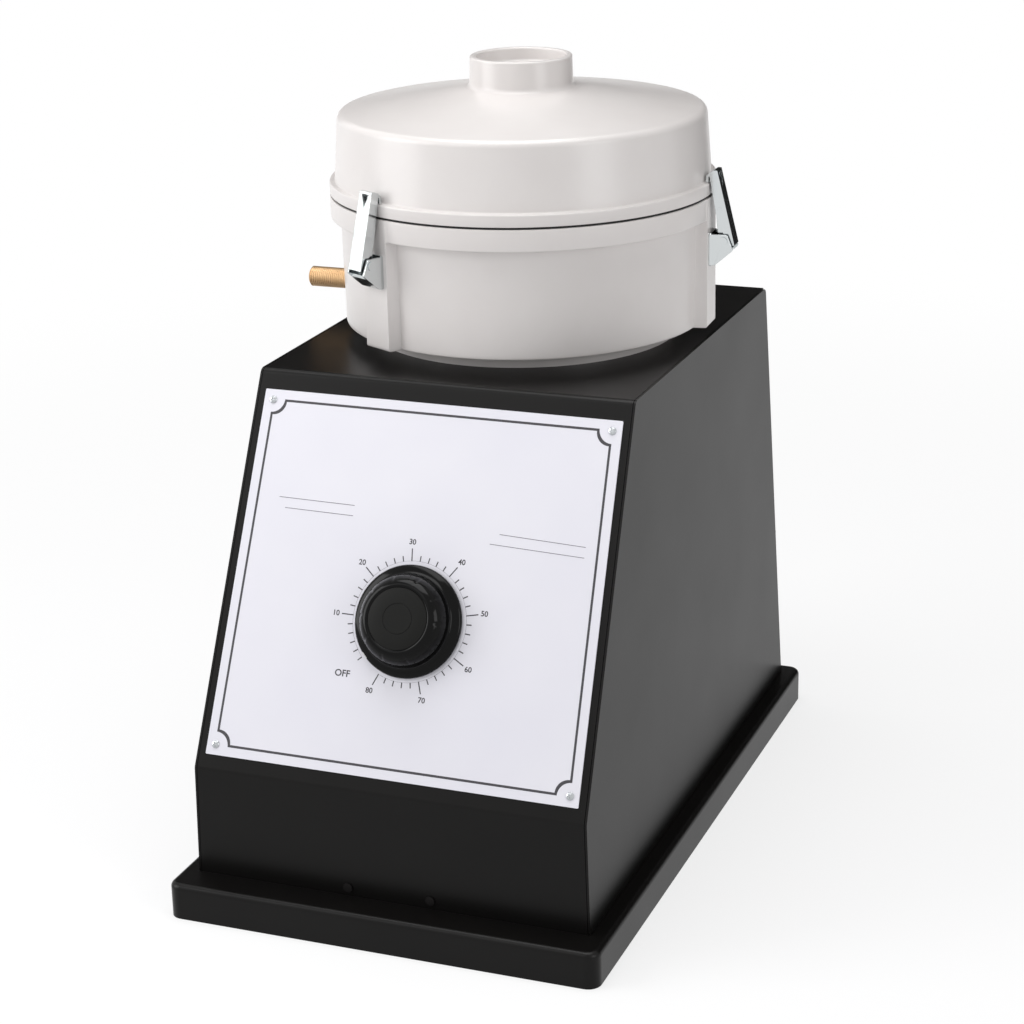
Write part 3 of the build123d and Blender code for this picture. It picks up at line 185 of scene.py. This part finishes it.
def matt_disc():
    """Dark grey anodised disc: matt, with a fine even grain."""
    material, shader, place = new_material(
        "matt_grey_disc", "#161615", 0.5, Specular_IOR_Level=0.1
    )
    grain = noise(material, place, 0.5, 3)
    vary_colour(material, shader, grain, "#131312", "#1a1a19")
    raise_surface(material, shader, grain, 0.00003, 0.4)
    return material


def printing_ink():
    """Grey-black screen ink: flat, a little uneven where it was squeezed through."""
    material, shader, place = new_material("screen_printed_ink", "#2f2d32", 0.5)
    vary_colour(material, shader, noise(material, place, 0.8, 3), "#28262b", "#38363b")
    return material


def bare_metal(name, base, rough, size_mm, low, high):
    """A bare machined metal: tool grain, drawn out flat, in the roughness and colour."""
    material, shader, place = new_material(name, base, rough, 1.0)
    grain = noise(material, place, size_mm, 4, (1, 1, 14))
    vary_colour(material, shader, grain, low, high)
    vary_roughness(material, shader, grain, rough - 0.07, rough + 0.1)
    raise_surface(material, shader, grain, 0.00003, 0.35)
    return material


def dull_moulding(name, base, rough, low, high, size_mm=1.2, depth=0.00005):
    """Moulded or sprayed matt surface: a fine spark-eroded grain."""
    material, shader, place = new_material(name, base, rough)
    grain = noise(material, place, size_mm, 3)
    vary_colour(material, shader, grain, low, high)
    raise_surface(material, shader, grain, depth, 0.5)
    return material


def enamelled_wire():
    """Wound copper wire under amber enamel, in round turns lying side by side; the colour is
    darkened in the grooves between turns as painted shade.
    """
    material, shader, place = new_material("enamelled_copper_wire", "#a4552c", 0.28, 0.85)
    wire_bands_and_groove_shade = add_node(
        material,
        "ShaderNodeTexWave",
        {"bands_direction": "DIAGONAL"},
        {"Vector": place, "Scale": 160.0, "Distortion": 1.5, "Detail": 1.0},
    ).outputs["Fac"]
    # The same bands darken the colour between the turns: painted shade in the grooves.
    vary_colour(material, shader, wire_bands_and_groove_shade, "#6e3218", "#c06a38")
    raise_surface(material, shader, wire_bands_and_groove_shade, 0.0004, 0.8)
    return material


finishes = {
    "black_paint": baked_enamel(),
    "cast_grey": painted_casting(),
    "plate_silver": anodised_plate(),
    "chrome": chrome_plate(),
    "brass": dulled_brass(),
    "steel": bare_metal("ground_bright_steel", "#b4b7ba", 0.28, 0.8, "#a3a6a9", "#c3c6c8"),
    "dark_steel": bare_metal("blackened_steel", "#2c2b2b", 0.4, 0.8, "#232222", "#383636"),
    "aluminium": bare_metal("turned_aluminium", "#c3c5c7", 0.33, 0.7, "#b5b7b9", "#d0d2d4"),
    "motor_paint": dull_moulding(
        "hammered_grey_paint", "#474c52", 0.42, "#3d4247", "#545a60", 3, 0.0003
    ),
    "copper": enamelled_wire(),
    "rubber": dull_moulding("black_nitrile_rubber", "#161616", 0.75, "#121212", "#1d1d1d"),
    "filter_paper": dull_moulding(
        "pressed_filter_paper", "#ece8dc", 0.9, "#e3ded0", "#f3f0e6", 0.9, 0.0001
    ),
    "phenolic": phenolic(),
    "cap_grey": matt_disc(),
    "black_plastic": dull_moulding("black_moulded_nylon", "#141414", 0.5, "#101010", "#1a1a1a"),
    "ceramic": dull_moulding(
        "fired_ceramic", "#b7ae9c", 0.7, "#aaa18f", "#c4bcab", 1.5, 0.0001
    ),
}
ink = printing_ink()
slot_of = {s["node"]: s["material_slot"] for s in frame["record"]["subparts"]}
for name, cad in frame["nodes"].items():
    cad.data.materials.clear()
    cad.data.materials.append(finishes[slot_of[name]])


# Modelling
def pick(obj):
    """Makes one object the only one selected, and active."""
    bpy.ops.object.select_all(action="DESELECT")
    obj.select_set(True)
    bpy.context.view_layer.objects.active = obj


def edit():
    """Edit mode with everything selected."""
    bpy.ops.object.mode_set(mode="EDIT")
    bpy.ops.mesh.select_mode(type="VERT")
    bpy.ops.mesh.select_all(action="SELECT")


def leave():
    """Back to object mode."""
    bpy.ops.object.mode_set(mode="OBJECT")


def rename(obj, name):
    """Gives an object and its mesh one name."""
    obj.name = name
    obj.data.name = name


def chain(name, points):
    """A new object in edit mode, with a chain of edges through points in millimetres."""
    bpy.ops.object.select_all(action="DESELECT")
    bpy.ops.mesh.primitive_plane_add(size=MM, location=(0, 0, 0))
    obj = bpy.context.object
    rename(obj, name)
    edit()
    bpy.ops.mesh.merge(type="CENTER")
    bpy.ops.transform.translate(value=[part * MM for part in points[0]])
    for before, after in zip(points, points[1:]):
        step = [(b - a) * MM for a, b in zip(before, after)]
        bpy.ops.mesh.extrude_region_move(TRANSFORM_OT_translate={"value": step})
    return obj


def profile(name, points):
    """A chain through (radius, height) points in millimetres, in the XZ plane."""
    obj = chain(name, [(radius, 0, height) for radius, height in points])
    leave()
    return obj


def round_corners(obj, corners, segments=5):
    """Bevels the profile's vertices at ((radius, height), size) places."""
    pick(obj)
    for (radius, height), size in corners:
        bpy.ops.object.mode_set(mode="EDIT")
        bpy.ops.mesh.select_all(action="DESELECT")
        leave()
        target = Vector((radius * MM, 0, height * MM))
        nearest = min(obj.data.vertices, key=lambda v: (v.co - target).length)
        nearest.select = True
        bpy.ops.object.mode_set(mode="EDIT")
        bpy.ops.mesh.bevel(offset=size * MM, segments=segments, affect="VERTICES")
        leave()


def spin_up(obj, steps):
    """Spins a profile once round the Z axis and closes the seam and poles."""
    pick(obj)
    edit()
    bpy.ops.mesh.spin(steps=steps, angle=2 * pi, center=(0, 0, 0), axis=(0, 0, 1))
    bpy.ops.mesh.select_all(action="SELECT")
    bpy.ops.mesh.remove_doubles(threshold=0.000005)
    bpy.ops.mesh.normals_make_consistent(inside=False)
    leave()


def soften(obj, width_mm, segments=2, angle=30):
    """Bevels every edge sharper than the angle, and applies it."""
    pick(obj)
    bevel = obj.modifiers.new("edge", "BEVEL")
    bevel.width = width_mm * MM
    bevel.segments = segments
    bevel.limit_method = "ANGLE"
    bevel.angle_limit = radians(angle)
    bpy.ops.object.modifier_apply(modifier="edge")


def smooth(obj, angle=35):
    """Shades an object smooth, but for edges sharper than the angle."""
    pick(obj)
    bpy.ops.object.shade_smooth_by_angle(angle=radians(angle))


def put_at(obj, matrix):
    """Puts a piece modelled at the origin where it belongs, in its mesh."""
    pick(obj)
    obj.matrix_world = matrix
    bpy.ops.object.transform_apply(location=True, rotation=True, scale=True)


def finish_piece(obj, body, slot, material=None, nodes=()):
    """Gives a piece its material and body, and hides the nodes it stands for."""
    obj.data.materials.clear()
    obj.data.materials.append(material or finishes[slot])
    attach(obj, body)
    if nodes:
        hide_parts(*nodes)
    return obj


def traced(node, name, width_mm, segments=2, angle=30):
    """A copy of a CAD node's mesh, merged, its flats rejoined and its edges softened."""
    pick(frame["nodes"][node])
    bpy.ops.object.duplicate()
    obj = bpy.context.object
    obj.parent = None
    for key in list(obj.keys()):
        del obj[key]
    rename(obj, name)
    edit()
    bpy.ops.mesh.remove_doubles(threshold=0.000002)
    bpy.ops.mesh.dissolve_limited(angle_limit=radians(1))
    leave()
    soften(obj, width_mm, segments, angle)
    smooth(obj)
    flats = obj.modifiers.new("flats", "WEIGHTED_NORMAL")
    flats.keep_sharp = True
    bpy.ops.object.modifier_apply(modifier="flats")
    return obj


def joined(name, parts):
    """Several small shapes made one piece."""
    pick(parts[0])
    for part in parts[1:]:
        part.select_set(True)
    bpy.ops.object.join()
    obj = bpy.context.object
    rename(obj, name)
    return obj


def cut_away(obj, cutter):
    """Cuts one shape out of another, and removes the cutter."""
    pick(obj)
    cut = obj.modifiers.new("cut", "BOOLEAN")
    cut.operation = "DIFFERENCE"
    cut.solver = "EXACT"
    cut.object = cutter
    bpy.ops.object.modifier_apply(modifier="cut")
    bpy.data.objects.remove(cutter)


def reach_of(vertex):
    """A vertex's distance from the Z axis, in millimetres."""
    return hypot(vertex.co.x, vertex.co.y) / MM


def turn_of(vertex):
    """A vertex's direction about the Z axis, in turns."""
    return Vector((vertex.co.x, vertex.co.y)).angle_signed(Vector((1, 0))) / (2 * pi)


def draw_in(vertex, depth):
    """Moves a vertex towards the Z axis, in millimetres."""
    reach = reach_of(vertex)
    scale = (reach - depth) / reach
    vertex.co.x *= scale
    vertex.co.y *= scale


# Measurements shared with the part, in millimetres
latch_angles = (3, 123, 243)
pad_face = 134.6
pad_half = 12.7
# The sloped panel: its foot, and its run back and rise over its whole length
slope_foot_y, slope_foot_z = -271, 102
slope_run, slope_rise = 118.0, 244.0
slope = hypot(slope_run, slope_rise)
panel = Matrix(
    (
        (1, 0, 0, 0),
        (0, slope_run / slope, -slope_rise / slope, slope_foot_y * MM),
        (0, slope_rise / slope, slope_run / slope, slope_foot_z * MM),
        (0, 0, 0, 1),
    )
)
dial_height = 113.5
dial = panel @ Matrix.Translation((0, dial_height * MM, 0))
# The dial plate: its face over the panel, and its ends and side margins on it
plate_face = 0.8
plate_low, plate_high = 10, 257.3
plate_margin = 6.7
# The side sheets: half the width at their foot, and their lean inwards
side_foot_half, side_foot_z = 140, 25
side_lean = 7 / 321


def plate_half(height):
    """Half the plate's width at a height up the panel."""
    z = slope_foot_z + height * slope_rise / slope
    return side_foot_half - (z - side_foot_z) * side_lean - plate_margin


# Camera, fitted to the photo's edges: place in metres, focal length in pixels of its width
camera_place = (0.624794, -1.623183, 0.811829)
focal_pixels, picture_pixels = 2532.8, 1024
heading, tilt, roll = radians(21.481), radians(19.190), radians(-1.276)
forward = Vector((-sin(heading) * cos(tilt), cos(heading) * cos(tilt), -sin(tilt)))
level = Vector((cos(heading), sin(heading), 0))
upward = level.cross(forward)
right = level * cos(roll) + upward * sin(roll)
top = upward * cos(roll) - level * sin(roll)
camera = bpy.data.objects.new("camera", bpy.data.cameras.new("camera"))
bpy.context.scene.collection.objects.link(camera)
camera.matrix_world = Matrix(
    (
        (right.x, top.x, -forward.x, camera_place[0]),
        (right.y, top.y, -forward.y, camera_place[1]),
        (right.z, top.z, -forward.z, camera_place[2]),
        (0, 0, 0, 1),
    )
)
camera.data.sensor_width = 36
camera.data.lens = focal_pixels / picture_pixels * camera.data.sensor_width
bpy.context.scene.camera = camera

# Lid: drafted cover with a shallow cone top and a filler neck
lid_cover = profile(
    "lid_cover",
    [
        (8, 512), (35.8, 512), (121.5, 496.7), (121.5, 447.3), (134.4, 447.3),
        (134.4, 455.7), (130.6, 455.7), (127.5, 501.7), (35.8, 517), (35.2, 537.8),
        (31, 537.8), (31, 528.8), (8, 523.8), (8, 512),
    ],
)
round_corners(
    lid_cover,
    [
        ((134.4, 447.3), 0.5), ((134.4, 455.7), 1.2), ((130.6, 455.7), 1.2),
        ((127.5, 501.7), 4.2), ((35.8, 517), 3.0), ((35.2, 537.8), 1.3),
        ((31, 537.8), 1.3), ((31, 528.8), 1.5), ((8, 523.8), 1.2),
    ],
)
spin_up(lid_cover, 256)
smooth(lid_cover, 32)
finish_piece(lid_cover, "lid", "cast_grey", nodes=["lid"])

# Drum: cast bowl with a flange band, three latch pads and a foot ring
drum_shell = profile(
    "drum_shell",
    [
        (17, 346), (26, 346), (26, 356), (98, 356), (98, 346), (108, 346), (108, 356),
        (126.4, 356), (126.45, 359), (126.7, 380), (127.1, 400), (127.5, 430.6),
        (134.4, 430.6), (134.4, 445.7), (120.4, 445.7), (120.4, 362), (20, 362),
        (20, 384), (11.5, 384), (11.5, 353), (17, 353), (17, 346),
    ],
)
round_corners(
    drum_shell,
    [
        ((126.4, 356), 1.2), ((127.5, 430.6), 1.6), ((134.4, 430.6), 1.2),
        ((134.4, 445.7), 0.6), ((120.4, 362), 5.0), ((20, 362), 3.0), ((20, 384), 0.8),
    ],
)
spin_up(drum_shell, 1080)


# Pads: sides that rise over a short way, and a rounded lower edge
pad_low = 355.9
pad_rise = 2.2
pad_edge = 1.5
drum_inside = 121.5


def pad_share(offset):
    """How far the pad's smooth side has risen at a sideways distance from its middle."""
    step = min(max((pad_half + pad_rise / 2 - abs(offset)) / pad_rise, 0.0), 1.0)
    return step * step * step * (step * (6 * step - 15) + 10)


for vertex in drum_shell.data.vertices:
    height = vertex.co.z / MM
    if reach_of(vertex) < drum_inside or height < pad_low:
        continue
    for angle in latch_angles:
        outward = Vector((cos(radians(angle)), sin(radians(angle)), 0))
        sideways = Vector((-outward.y, outward.x, 0))
        along, across = vertex.co.dot(outward) / MM, vertex.co.dot(sideways) / MM
        if along <= 0:
            continue
        edge = min((height - pad_low) / pad_edge, 1.0)
        face = pad_face - (1 - edge) ** 2
        moved = along + (face - along) * pad_share(across)
        vertex.co += outward * (max(moved, along) - along) * MM
smooth(drum_shell, 38)
finish_piece(drum_shell, "housing", "cast_grey", nodes=["drum"])

# Drain boss flaring out of the drum wall, and the threaded brass nipple
drain_height = 371
drain = Matrix.Translation((0, 0, drain_height * MM)) @ Matrix.Rotation(-pi / 2, 4, "Y")
drain_boss = profile(
    "drain_boss",
    [(7.35, 122), (15.5, 122), (11.6, 126.2), (11.4, 129), (7.35, 129), (7.35, 122)],
)
round_corners(drain_boss, [((11.6, 126.2), 2.0), ((11.4, 129), 0.8)])
spin_up(drain_boss, 96)
put_at(drain_boss, drain)
smooth(drain_boss)
finish_piece(drain_boss, "housing", "cast_grey")

# Its thread is a round wave of ten rings a pitch, between the root and the chamfer
thread_pitch = 1.5
thread_ring = thread_pitch / 10
thread_rings = 314
thread_half_depth = 0.28
nipple_start, nipple_end = 118, 166
nipple_outside, nipple_bore, nipple_chamfer = 7.3, 4.8, 6.1
outer_wall, thread_from, thread_to = 7.2, 118.4, 164.9
nipple = profile(
    "drain_nipple_threaded",
    [(nipple_bore, nipple_start)]
    + [(nipple_outside, nipple_start + thread_ring * i) for i in range(thread_rings)]
    + [(nipple_chamfer, nipple_end), (nipple_bore, nipple_end), (nipple_bore, nipple_start)],
)
spin_up(nipple, 72)
for vertex in nipple.data.vertices:
    height = vertex.co.z / MM
    if reach_of(vertex) > outer_wall and thread_from < height < thread_to:
        wave = height / thread_pitch + turn_of(vertex)
        draw_in(vertex, thread_half_depth * (1 - cos(2 * pi * wave)))
put_at(nipple, drain)
smooth(nipple, 85)
finish_piece(nipple, "housing", "brass", nodes=["drain_nipple"])

# Latches: softened pressings over the brackets, links and levers
for number in (1, 2, 3):
    for kind, width in (("bracket", 0.35), ("link", 0.3), ("lever", 0.32)):
        node = f"latch_{kind}_{number}"
        body = "housing" if kind == "bracket" else node
        piece = traced(node, f"{node}_pressing", width)
        finish_piece(piece, body, "chrome", nodes=[node])

# Plate screws: domed bright heads with a cross recess
screw_from_side, screw_from_end = 6.4, 7.0
recess_size, recess_middle, recess_turn = (3.6, 0.8, 1.2), 1.1, 0.4
screw_heads = []
for side in (-1, 1):
    for plate_end, step in ((plate_low, screw_from_end), (plate_high, -screw_from_end)):
        head = profile(
            "plate_screw",
            [(0, 0), (2.7, 0), (2.7, 0.3), (2.3, 0.8), (1.3, 1.15), (0, 1.2), (0, 0)],
        )
        spin_up(head, 32)
        for turn in (recess_turn, recess_turn + pi / 2):
            bpy.ops.object.select_all(action="DESELECT")
            bpy.ops.mesh.primitive_cube_add(
                size=MM, location=(0, 0, recess_middle * MM), rotation=(0, 0, turn)
            )
            recess = bpy.context.object
            recess.scale = recess_size
            cut_away(head, recess)
        middle = (side * (plate_half(plate_end) - screw_from_side), plate_end + step, plate_face)
        put_at(head, panel @ Matrix.Translation([part * MM for part in middle]))
        screw_heads.append(head)
plate_screws = joined("plate_screw_heads", screw_heads)
smooth(plate_screws, 25)
finish_piece(plate_screws, "housing", "steel", nodes=["plate_screws"])

# Speed knob: fluted body on a skirt, with a matt disc let into its top
knob_foot = plate_face + 0.6
knob_body = profile(
    "knob_moulding",
    [
        (3.2, knob_foot + 17), (3.2, knob_foot), (36.6, knob_foot), (37.2, knob_foot + 0.6),
        (37.2, knob_foot + 2.6), (36.0, knob_foot + 3.6), (32.2, 6.0), (31.0, 7.0), (30.3, 8.6),
        (30.0, 11.0), (29.5, 14.0), (28.3, 17.0), (26.2, 19.8), (24.0, 21.5), (22.4, 22.0),
        (21.0, 22.0), (20.5, 21.6), (20.4, 21.0), (3.2, knob_foot + 17.4),
        (3.2, knob_foot + 17),
    ],
)
round_corners(
    knob_body,
    [((37.2, knob_foot + 2.6), 0.8), ((32.2, 6.0), 0.8), ((31.0, 7.0), 0.5)],
    3,
)
spin_up(knob_body, 240)
flutes = 10
flute_depth, flute_half_width = 0.9, 1.3
flute_middle, flute_half_height = 18.0, 2.6
flute_low, flute_inside = 12, 22.6
for vertex in knob_body.data.vertices:
    height, reach = vertex.co.z / MM, reach_of(vertex)
    if height < flute_low or reach < flute_inside:
        continue
    share = (turn_of(vertex) * flutes + 0.5) % 1.0 - 0.5
    across = share * 2 * pi / flutes * reach
    round_way = max(0.0, 1 - (across / flute_half_width) ** 2)
    up_way = max(0.0, 1 - ((height - flute_middle) / flute_half_height) ** 2)
    draw_in(vertex, flute_depth * round_way * up_way)
put_at(knob_body, dial)
smooth(knob_body, 40)
finish_piece(knob_body, "speed_knob", "phenolic", nodes=["speed_knob"])

knob_disc = profile(
    "knob_disc",
    [
        (0, 20.9), (20.35, 20.9), (20.35, 21.95), (10.3, 21.95), (10.0, 21.7), (9.7, 21.95),
        (0, 21.95),
    ],
)
round_corners(knob_disc, [((20.35, 21.95), 0.3)], 2)
spin_up(knob_disc, 128)
put_at(knob_disc, dial)
smooth(knob_disc)
finish_piece(knob_disc, "speed_knob", "cap_grey", nodes=["knob_cap"])


def flat_shape(name, points, face, thick, matrix=panel):
    """A flat outline of a small thickness, standing on a face height, in millimetres."""
    obj = chain(name, [(x, y, face) for x, y in points])
    bpy.ops.mesh.select_all(action="SELECT")
    bpy.ops.mesh.edge_face_add()
    bpy.ops.mesh.extrude_region_move(TRANSFORM_OT_translate={"value": (0, 0, thick * MM)})
    bpy.ops.mesh.select_all(action="SELECT")
    bpy.ops.mesh.normals_make_consistent(inside=False)
    leave()
    put_at(obj, matrix)
    return obj


# Pointer let into the skirt, at OFF when the knob is at rest
pointer_face, pointer_thick = 3.9, 0.9
pointer = flat_shape(
    "knob_pointer",
    [(-2.6, 36.9), (2.6, 36.9), (0.9, 32.2), (-0.9, 32.2)],
    pointer_face,
    pointer_thick,
    dial @ Matrix.Rotation(-radians(226), 4, "Z"),
)
soften(pointer, 0.2)
pointer_paint = dull_moulding("pointer_paint", "#c9c9c7", 0.45, "#bdbdbb", "#d6d6d4")
finish_piece(pointer, "speed_knob", "plate_silver", pointer_paint)

# Printing on the dial plate: scale, figures, rules and the notched border
ink_thick = 0.04
scale_start, scale_span, scale_steps = 228, 336, 40
line_width = 0.75
long_line, short_line = (39.6, 48.0), (39.8, 43.4)
arc_inside, arc_width, arc_parts = 39.7, 0.14, 96
figure_start, figure_step, figure_ring, figure_size = 270, 42, 52.2, 5.0
off_at, off_ring, off_size = 227, 57, 6.2
rule_width = 0.45


def tick(angle, inner, outer):
    """One scale line, pointing out from the knob's centre, clockwise from the top."""
    turn = radians(angle)
    out = Vector((sin(turn), cos(turn)))
    side = Vector((cos(turn), -sin(turn))) * line_width / 2
    corners = [out * inner - side, out * outer - side, out * outer + side, out * inner + side]
    return flat_shape("tick", [tuple(c) for c in corners], plate_face, ink_thick, dial)


marks = []
for step in range(scale_steps + 1):
    angle = scale_start + scale_span / scale_steps * step
    marks.append(tick(angle, *(long_line if step % 5 == 0 and step else short_line)))
scale_lines = joined("dial_scale_lines", marks)
finish_piece(scale_lines, "housing", "plate_silver", ink)

arc_angles = [scale_start + scale_span / arc_parts * i for i in range(arc_parts + 1)]
scale_arc = [
    (ring * sin(radians(angle)), ring * cos(radians(angle)))
    for ring, order in ((arc_inside, 1), (arc_inside + arc_width, -1))
    for angle in arc_angles[::order]
]
arc_line = flat_shape("dial_scale_arc", scale_arc, plate_face, ink_thick, dial)
arc_ink = dull_moulding("thin_grey_ink", "#6f6c74", 0.5, "#66636b", "#7a7780")
finish_piece(arc_line, "housing", "plate_silver", arc_ink)


def lettering(words, turn, ring, size):
    """Plain figures made a mesh, at a turn and distance from the knob's centre."""
    bpy.ops.object.select_all(action="DESELECT")
    bpy.ops.object.text_add(location=(0, 0, 0))
    obj = bpy.context.object
    obj.data.body = words
    obj.data.size = size * MM
    obj.data.align_x = "CENTER"
    obj.data.align_y = "CENTER"
    obj.data.extrude = ink_thick / 2 * MM
    obj.data.resolution_u = 4
    # The strokes are thickened a little, as printed ones are
    obj.data.offset = 0.02 * size * MM
    bpy.ops.object.convert(target="MESH")
    obj = bpy.context.object
    rename(obj, "figure")
    middle = (ring * sin(turn), ring * cos(turn), plate_face + ink_thick / 2)
    put_at(obj, dial @ Matrix.Translation([part * MM for part in middle]))
    return obj


figures = []
for index in range(8):
    turn = radians(figure_start + figure_step * index)
    figures.append(lettering(str(10 * (index + 1)), turn, figure_ring, figure_size))
figures.append(lettering("OFF", radians(off_at), off_ring, off_size))
dial_figures = joined("dial_figures", figures)
finish_piece(dial_figures, "housing", "plate_silver", ink)

rules = []
for x0, x1, y0, y1 in (
    (-105.2, -50.2, 185.5, 184.9),
    (-100.0, -50.2, 178.6, 178.0),
    (53.8, 113.0, 176.3, 174.1),
    (48.0, 113.0, 169.4, 167.2),
):
    shape = [(x0, y0), (x1, y1), (x1, y1 + rule_width), (x0, y0 + rule_width)]
    rules.append(flat_shape("rule", shape, plate_face, ink_thick))
write_on_lines = joined("write_on_lines", rules)
finish_piece(write_on_lines, "housing", "plate_silver", arc_ink)


def border_outline(inset_x, inset_y, notch=9.2):
    """The border's outline: straight sides and a hollow quarter circle at each corner."""
    points = []
    low, high = plate_low + inset_y, plate_high - inset_y
    for side, height, start in ((1, high, 180), (1, low, 90), (-1, low, 0), (-1, high, 270)):
        middle_x = side * (plate_half(height) - inset_x)
        for step in range(9):
            turn = radians(start + 90 * step / 8)
            points.append((middle_x + notch * cos(turn), height + notch * sin(turn)))
    return points


border = flat_shape("border_line", border_outline(6.0, 6.2), plate_face, ink_thick)
inside = flat_shape("border_inside", border_outline(7.6, 7.8), plate_face - 1, ink_thick + 2)
cut_away(border, inside)
finish_piece(border, "housing", "plate_silver", ink)

# Studio floor, light and backdrop, in metres
floor_size, floor_drop = 12, 0.0002
# The floor shows less of its own white near the object, so that the shadow reads
shade_near, shade_far, shade_share = 0.35, 1.6, 0.72
room_light = 0.32
bpy.ops.object.select_all(action="DESELECT")
bpy.ops.mesh.primitive_plane_add(size=floor_size, location=(0, 0, -floor_drop))
floor = bpy.context.object
floor.name = "studio_floor"
floor_paper = bpy.data.materials.new("white_studio_paper")
floor_paper.use_nodes = True
tree = floor_paper.node_tree
paper = tree.nodes["Principled BSDF"]
paper.inputs["Base Color"].default_value = colour("#f4f4f5")
paper.inputs["Roughness"].default_value = 0.9
paper.inputs["Specular IOR Level"].default_value = 0.1
glow = add_node(
    floor_paper, "ShaderNodeEmission", None, {"Color": colour("#ffffff"), "Strength": 1.0}
)


def seen_by_eye(tree_owner):
    """One for camera, glossy and transmission rays, nought for the light that falls on things."""
    rays = add_node(tree_owner, "ShaderNodeLightPath").outputs
    seen = rays["Is Camera Ray"]
    for kind in ("Is Glossy Ray", "Is Transmission Ray"):
        seen = add_node(
            tree_owner, "ShaderNodeMath", {"operation": "MAXIMUM"}, {0: seen, 1: rays[kind]}
        ).outputs[0]
    return seen


away = add_node(
    floor_paper,
    "ShaderNodeVectorMath",
    {"operation": "LENGTH"},
    {0: add_node(floor_paper, "ShaderNodeTexCoord").outputs["Object"]},
)
clear = add_node(
    floor_paper,
    "ShaderNodeMapRange",
    {"interpolation_type": "SMOOTHSTEP"},
    {
        "Value": away.outputs["Value"],
        "From Min": shade_near,
        "From Max": shade_far,
        "To Min": shade_share,
        "To Max": 1.0,
    },
)
share = add_node(
    floor_paper,
    "ShaderNodeMath",
    {"operation": "MULTIPLY"},
    {0: seen_by_eye(floor_paper), 1: clear.outputs[0]},
)
blend = add_node(
    floor_paper,
    "ShaderNodeMixShader",
    None,
    {0: share.outputs[0], 1: paper.outputs[0], 2: glow.outputs[0]},
)
tree.links.new(blend.outputs[0], tree.nodes["Material Output"].inputs["Surface"])
floor.data.materials.append(floor_paper)

world = bpy.data.worlds.new("studio")
bpy.context.scene.world = world
world.use_nodes = True
sky = world.node_tree
plain = sky.nodes["Background"]
plain.inputs["Color"].default_value = colour("#ffffff")
plain.inputs["Strength"].default_value = room_light
backdrop = add_node(
    world, "ShaderNodeBackground", None, {"Color": colour("#ffffff"), "Strength": 1.0}
)
sky_blend = add_node(
    world,
    "ShaderNodeMixShader",
    None,
    {0: seen_by_eye(world), 1: plain.outputs[0], 2: backdrop.outputs[0]},
)
sky.links.new(sky_blend.outputs[0], sky.nodes["World Output"].inputs["Surface"])


def soft_box(name, position, target, size, power):
    """A rectangular area light aimed at a point, its power in watts."""
    lamp = bpy.data.lights.new(name, "AREA")
    lamp.shape = "RECTANGLE"
    lamp.size, lamp.size_y = size
    lamp.energy = power
    obj = bpy.data.objects.new(name, lamp)
    bpy.context.scene.collection.objects.link(obj)
    obj.location = position
    aim = Vector(target) - Vector(position)
    obj.rotation_euler = aim.to_track_quat("-Z", "Y").to_euler()


soft_box("key_left", (-2.1, -1.3, 1.3), (0, 0, 0.4), (1.5, 1.9), 38)
soft_box("top", (-0.1, -0.1, 2.4), (0, 0, 0.4), (1.8, 1.6), 36)
soft_box("fill_right", (2.2, -1.0, 1.1), (0, 0, 0.3), (1.0, 1.4), 14)
soft_box("front_high", (-0.85, -2.0, 2.1), (0, -0.1, 0.3), (1.4, 1.0), 5)


def dark_card(name, low, high):
    """A dull black card standing behind the object, seen only in its reflections."""
    bpy.ops.object.select_all(action="DESELECT")
    middle = [(a + b) / 2 for a, b in zip(low, high)]
    bpy.ops.mesh.primitive_cube_add(size=1, location=middle)
    card = bpy.context.object
    card.name = name
    card.scale = [b - a for a, b in zip(low, high)]
    card.visible_camera = False
    card.data.materials.append(card_paper)


card_paper = dull_moulding("black_card", "#060606", 0.95, "#050505", "#080808", 20)
dark_card("dark_card_low", (0.3, 2.3, 0.0), (3.4, 2.32, 2.8))
dark_card("dark_card_high", (-3.2, 2.5, 0.45), (0.3, 2.52, 2.8))
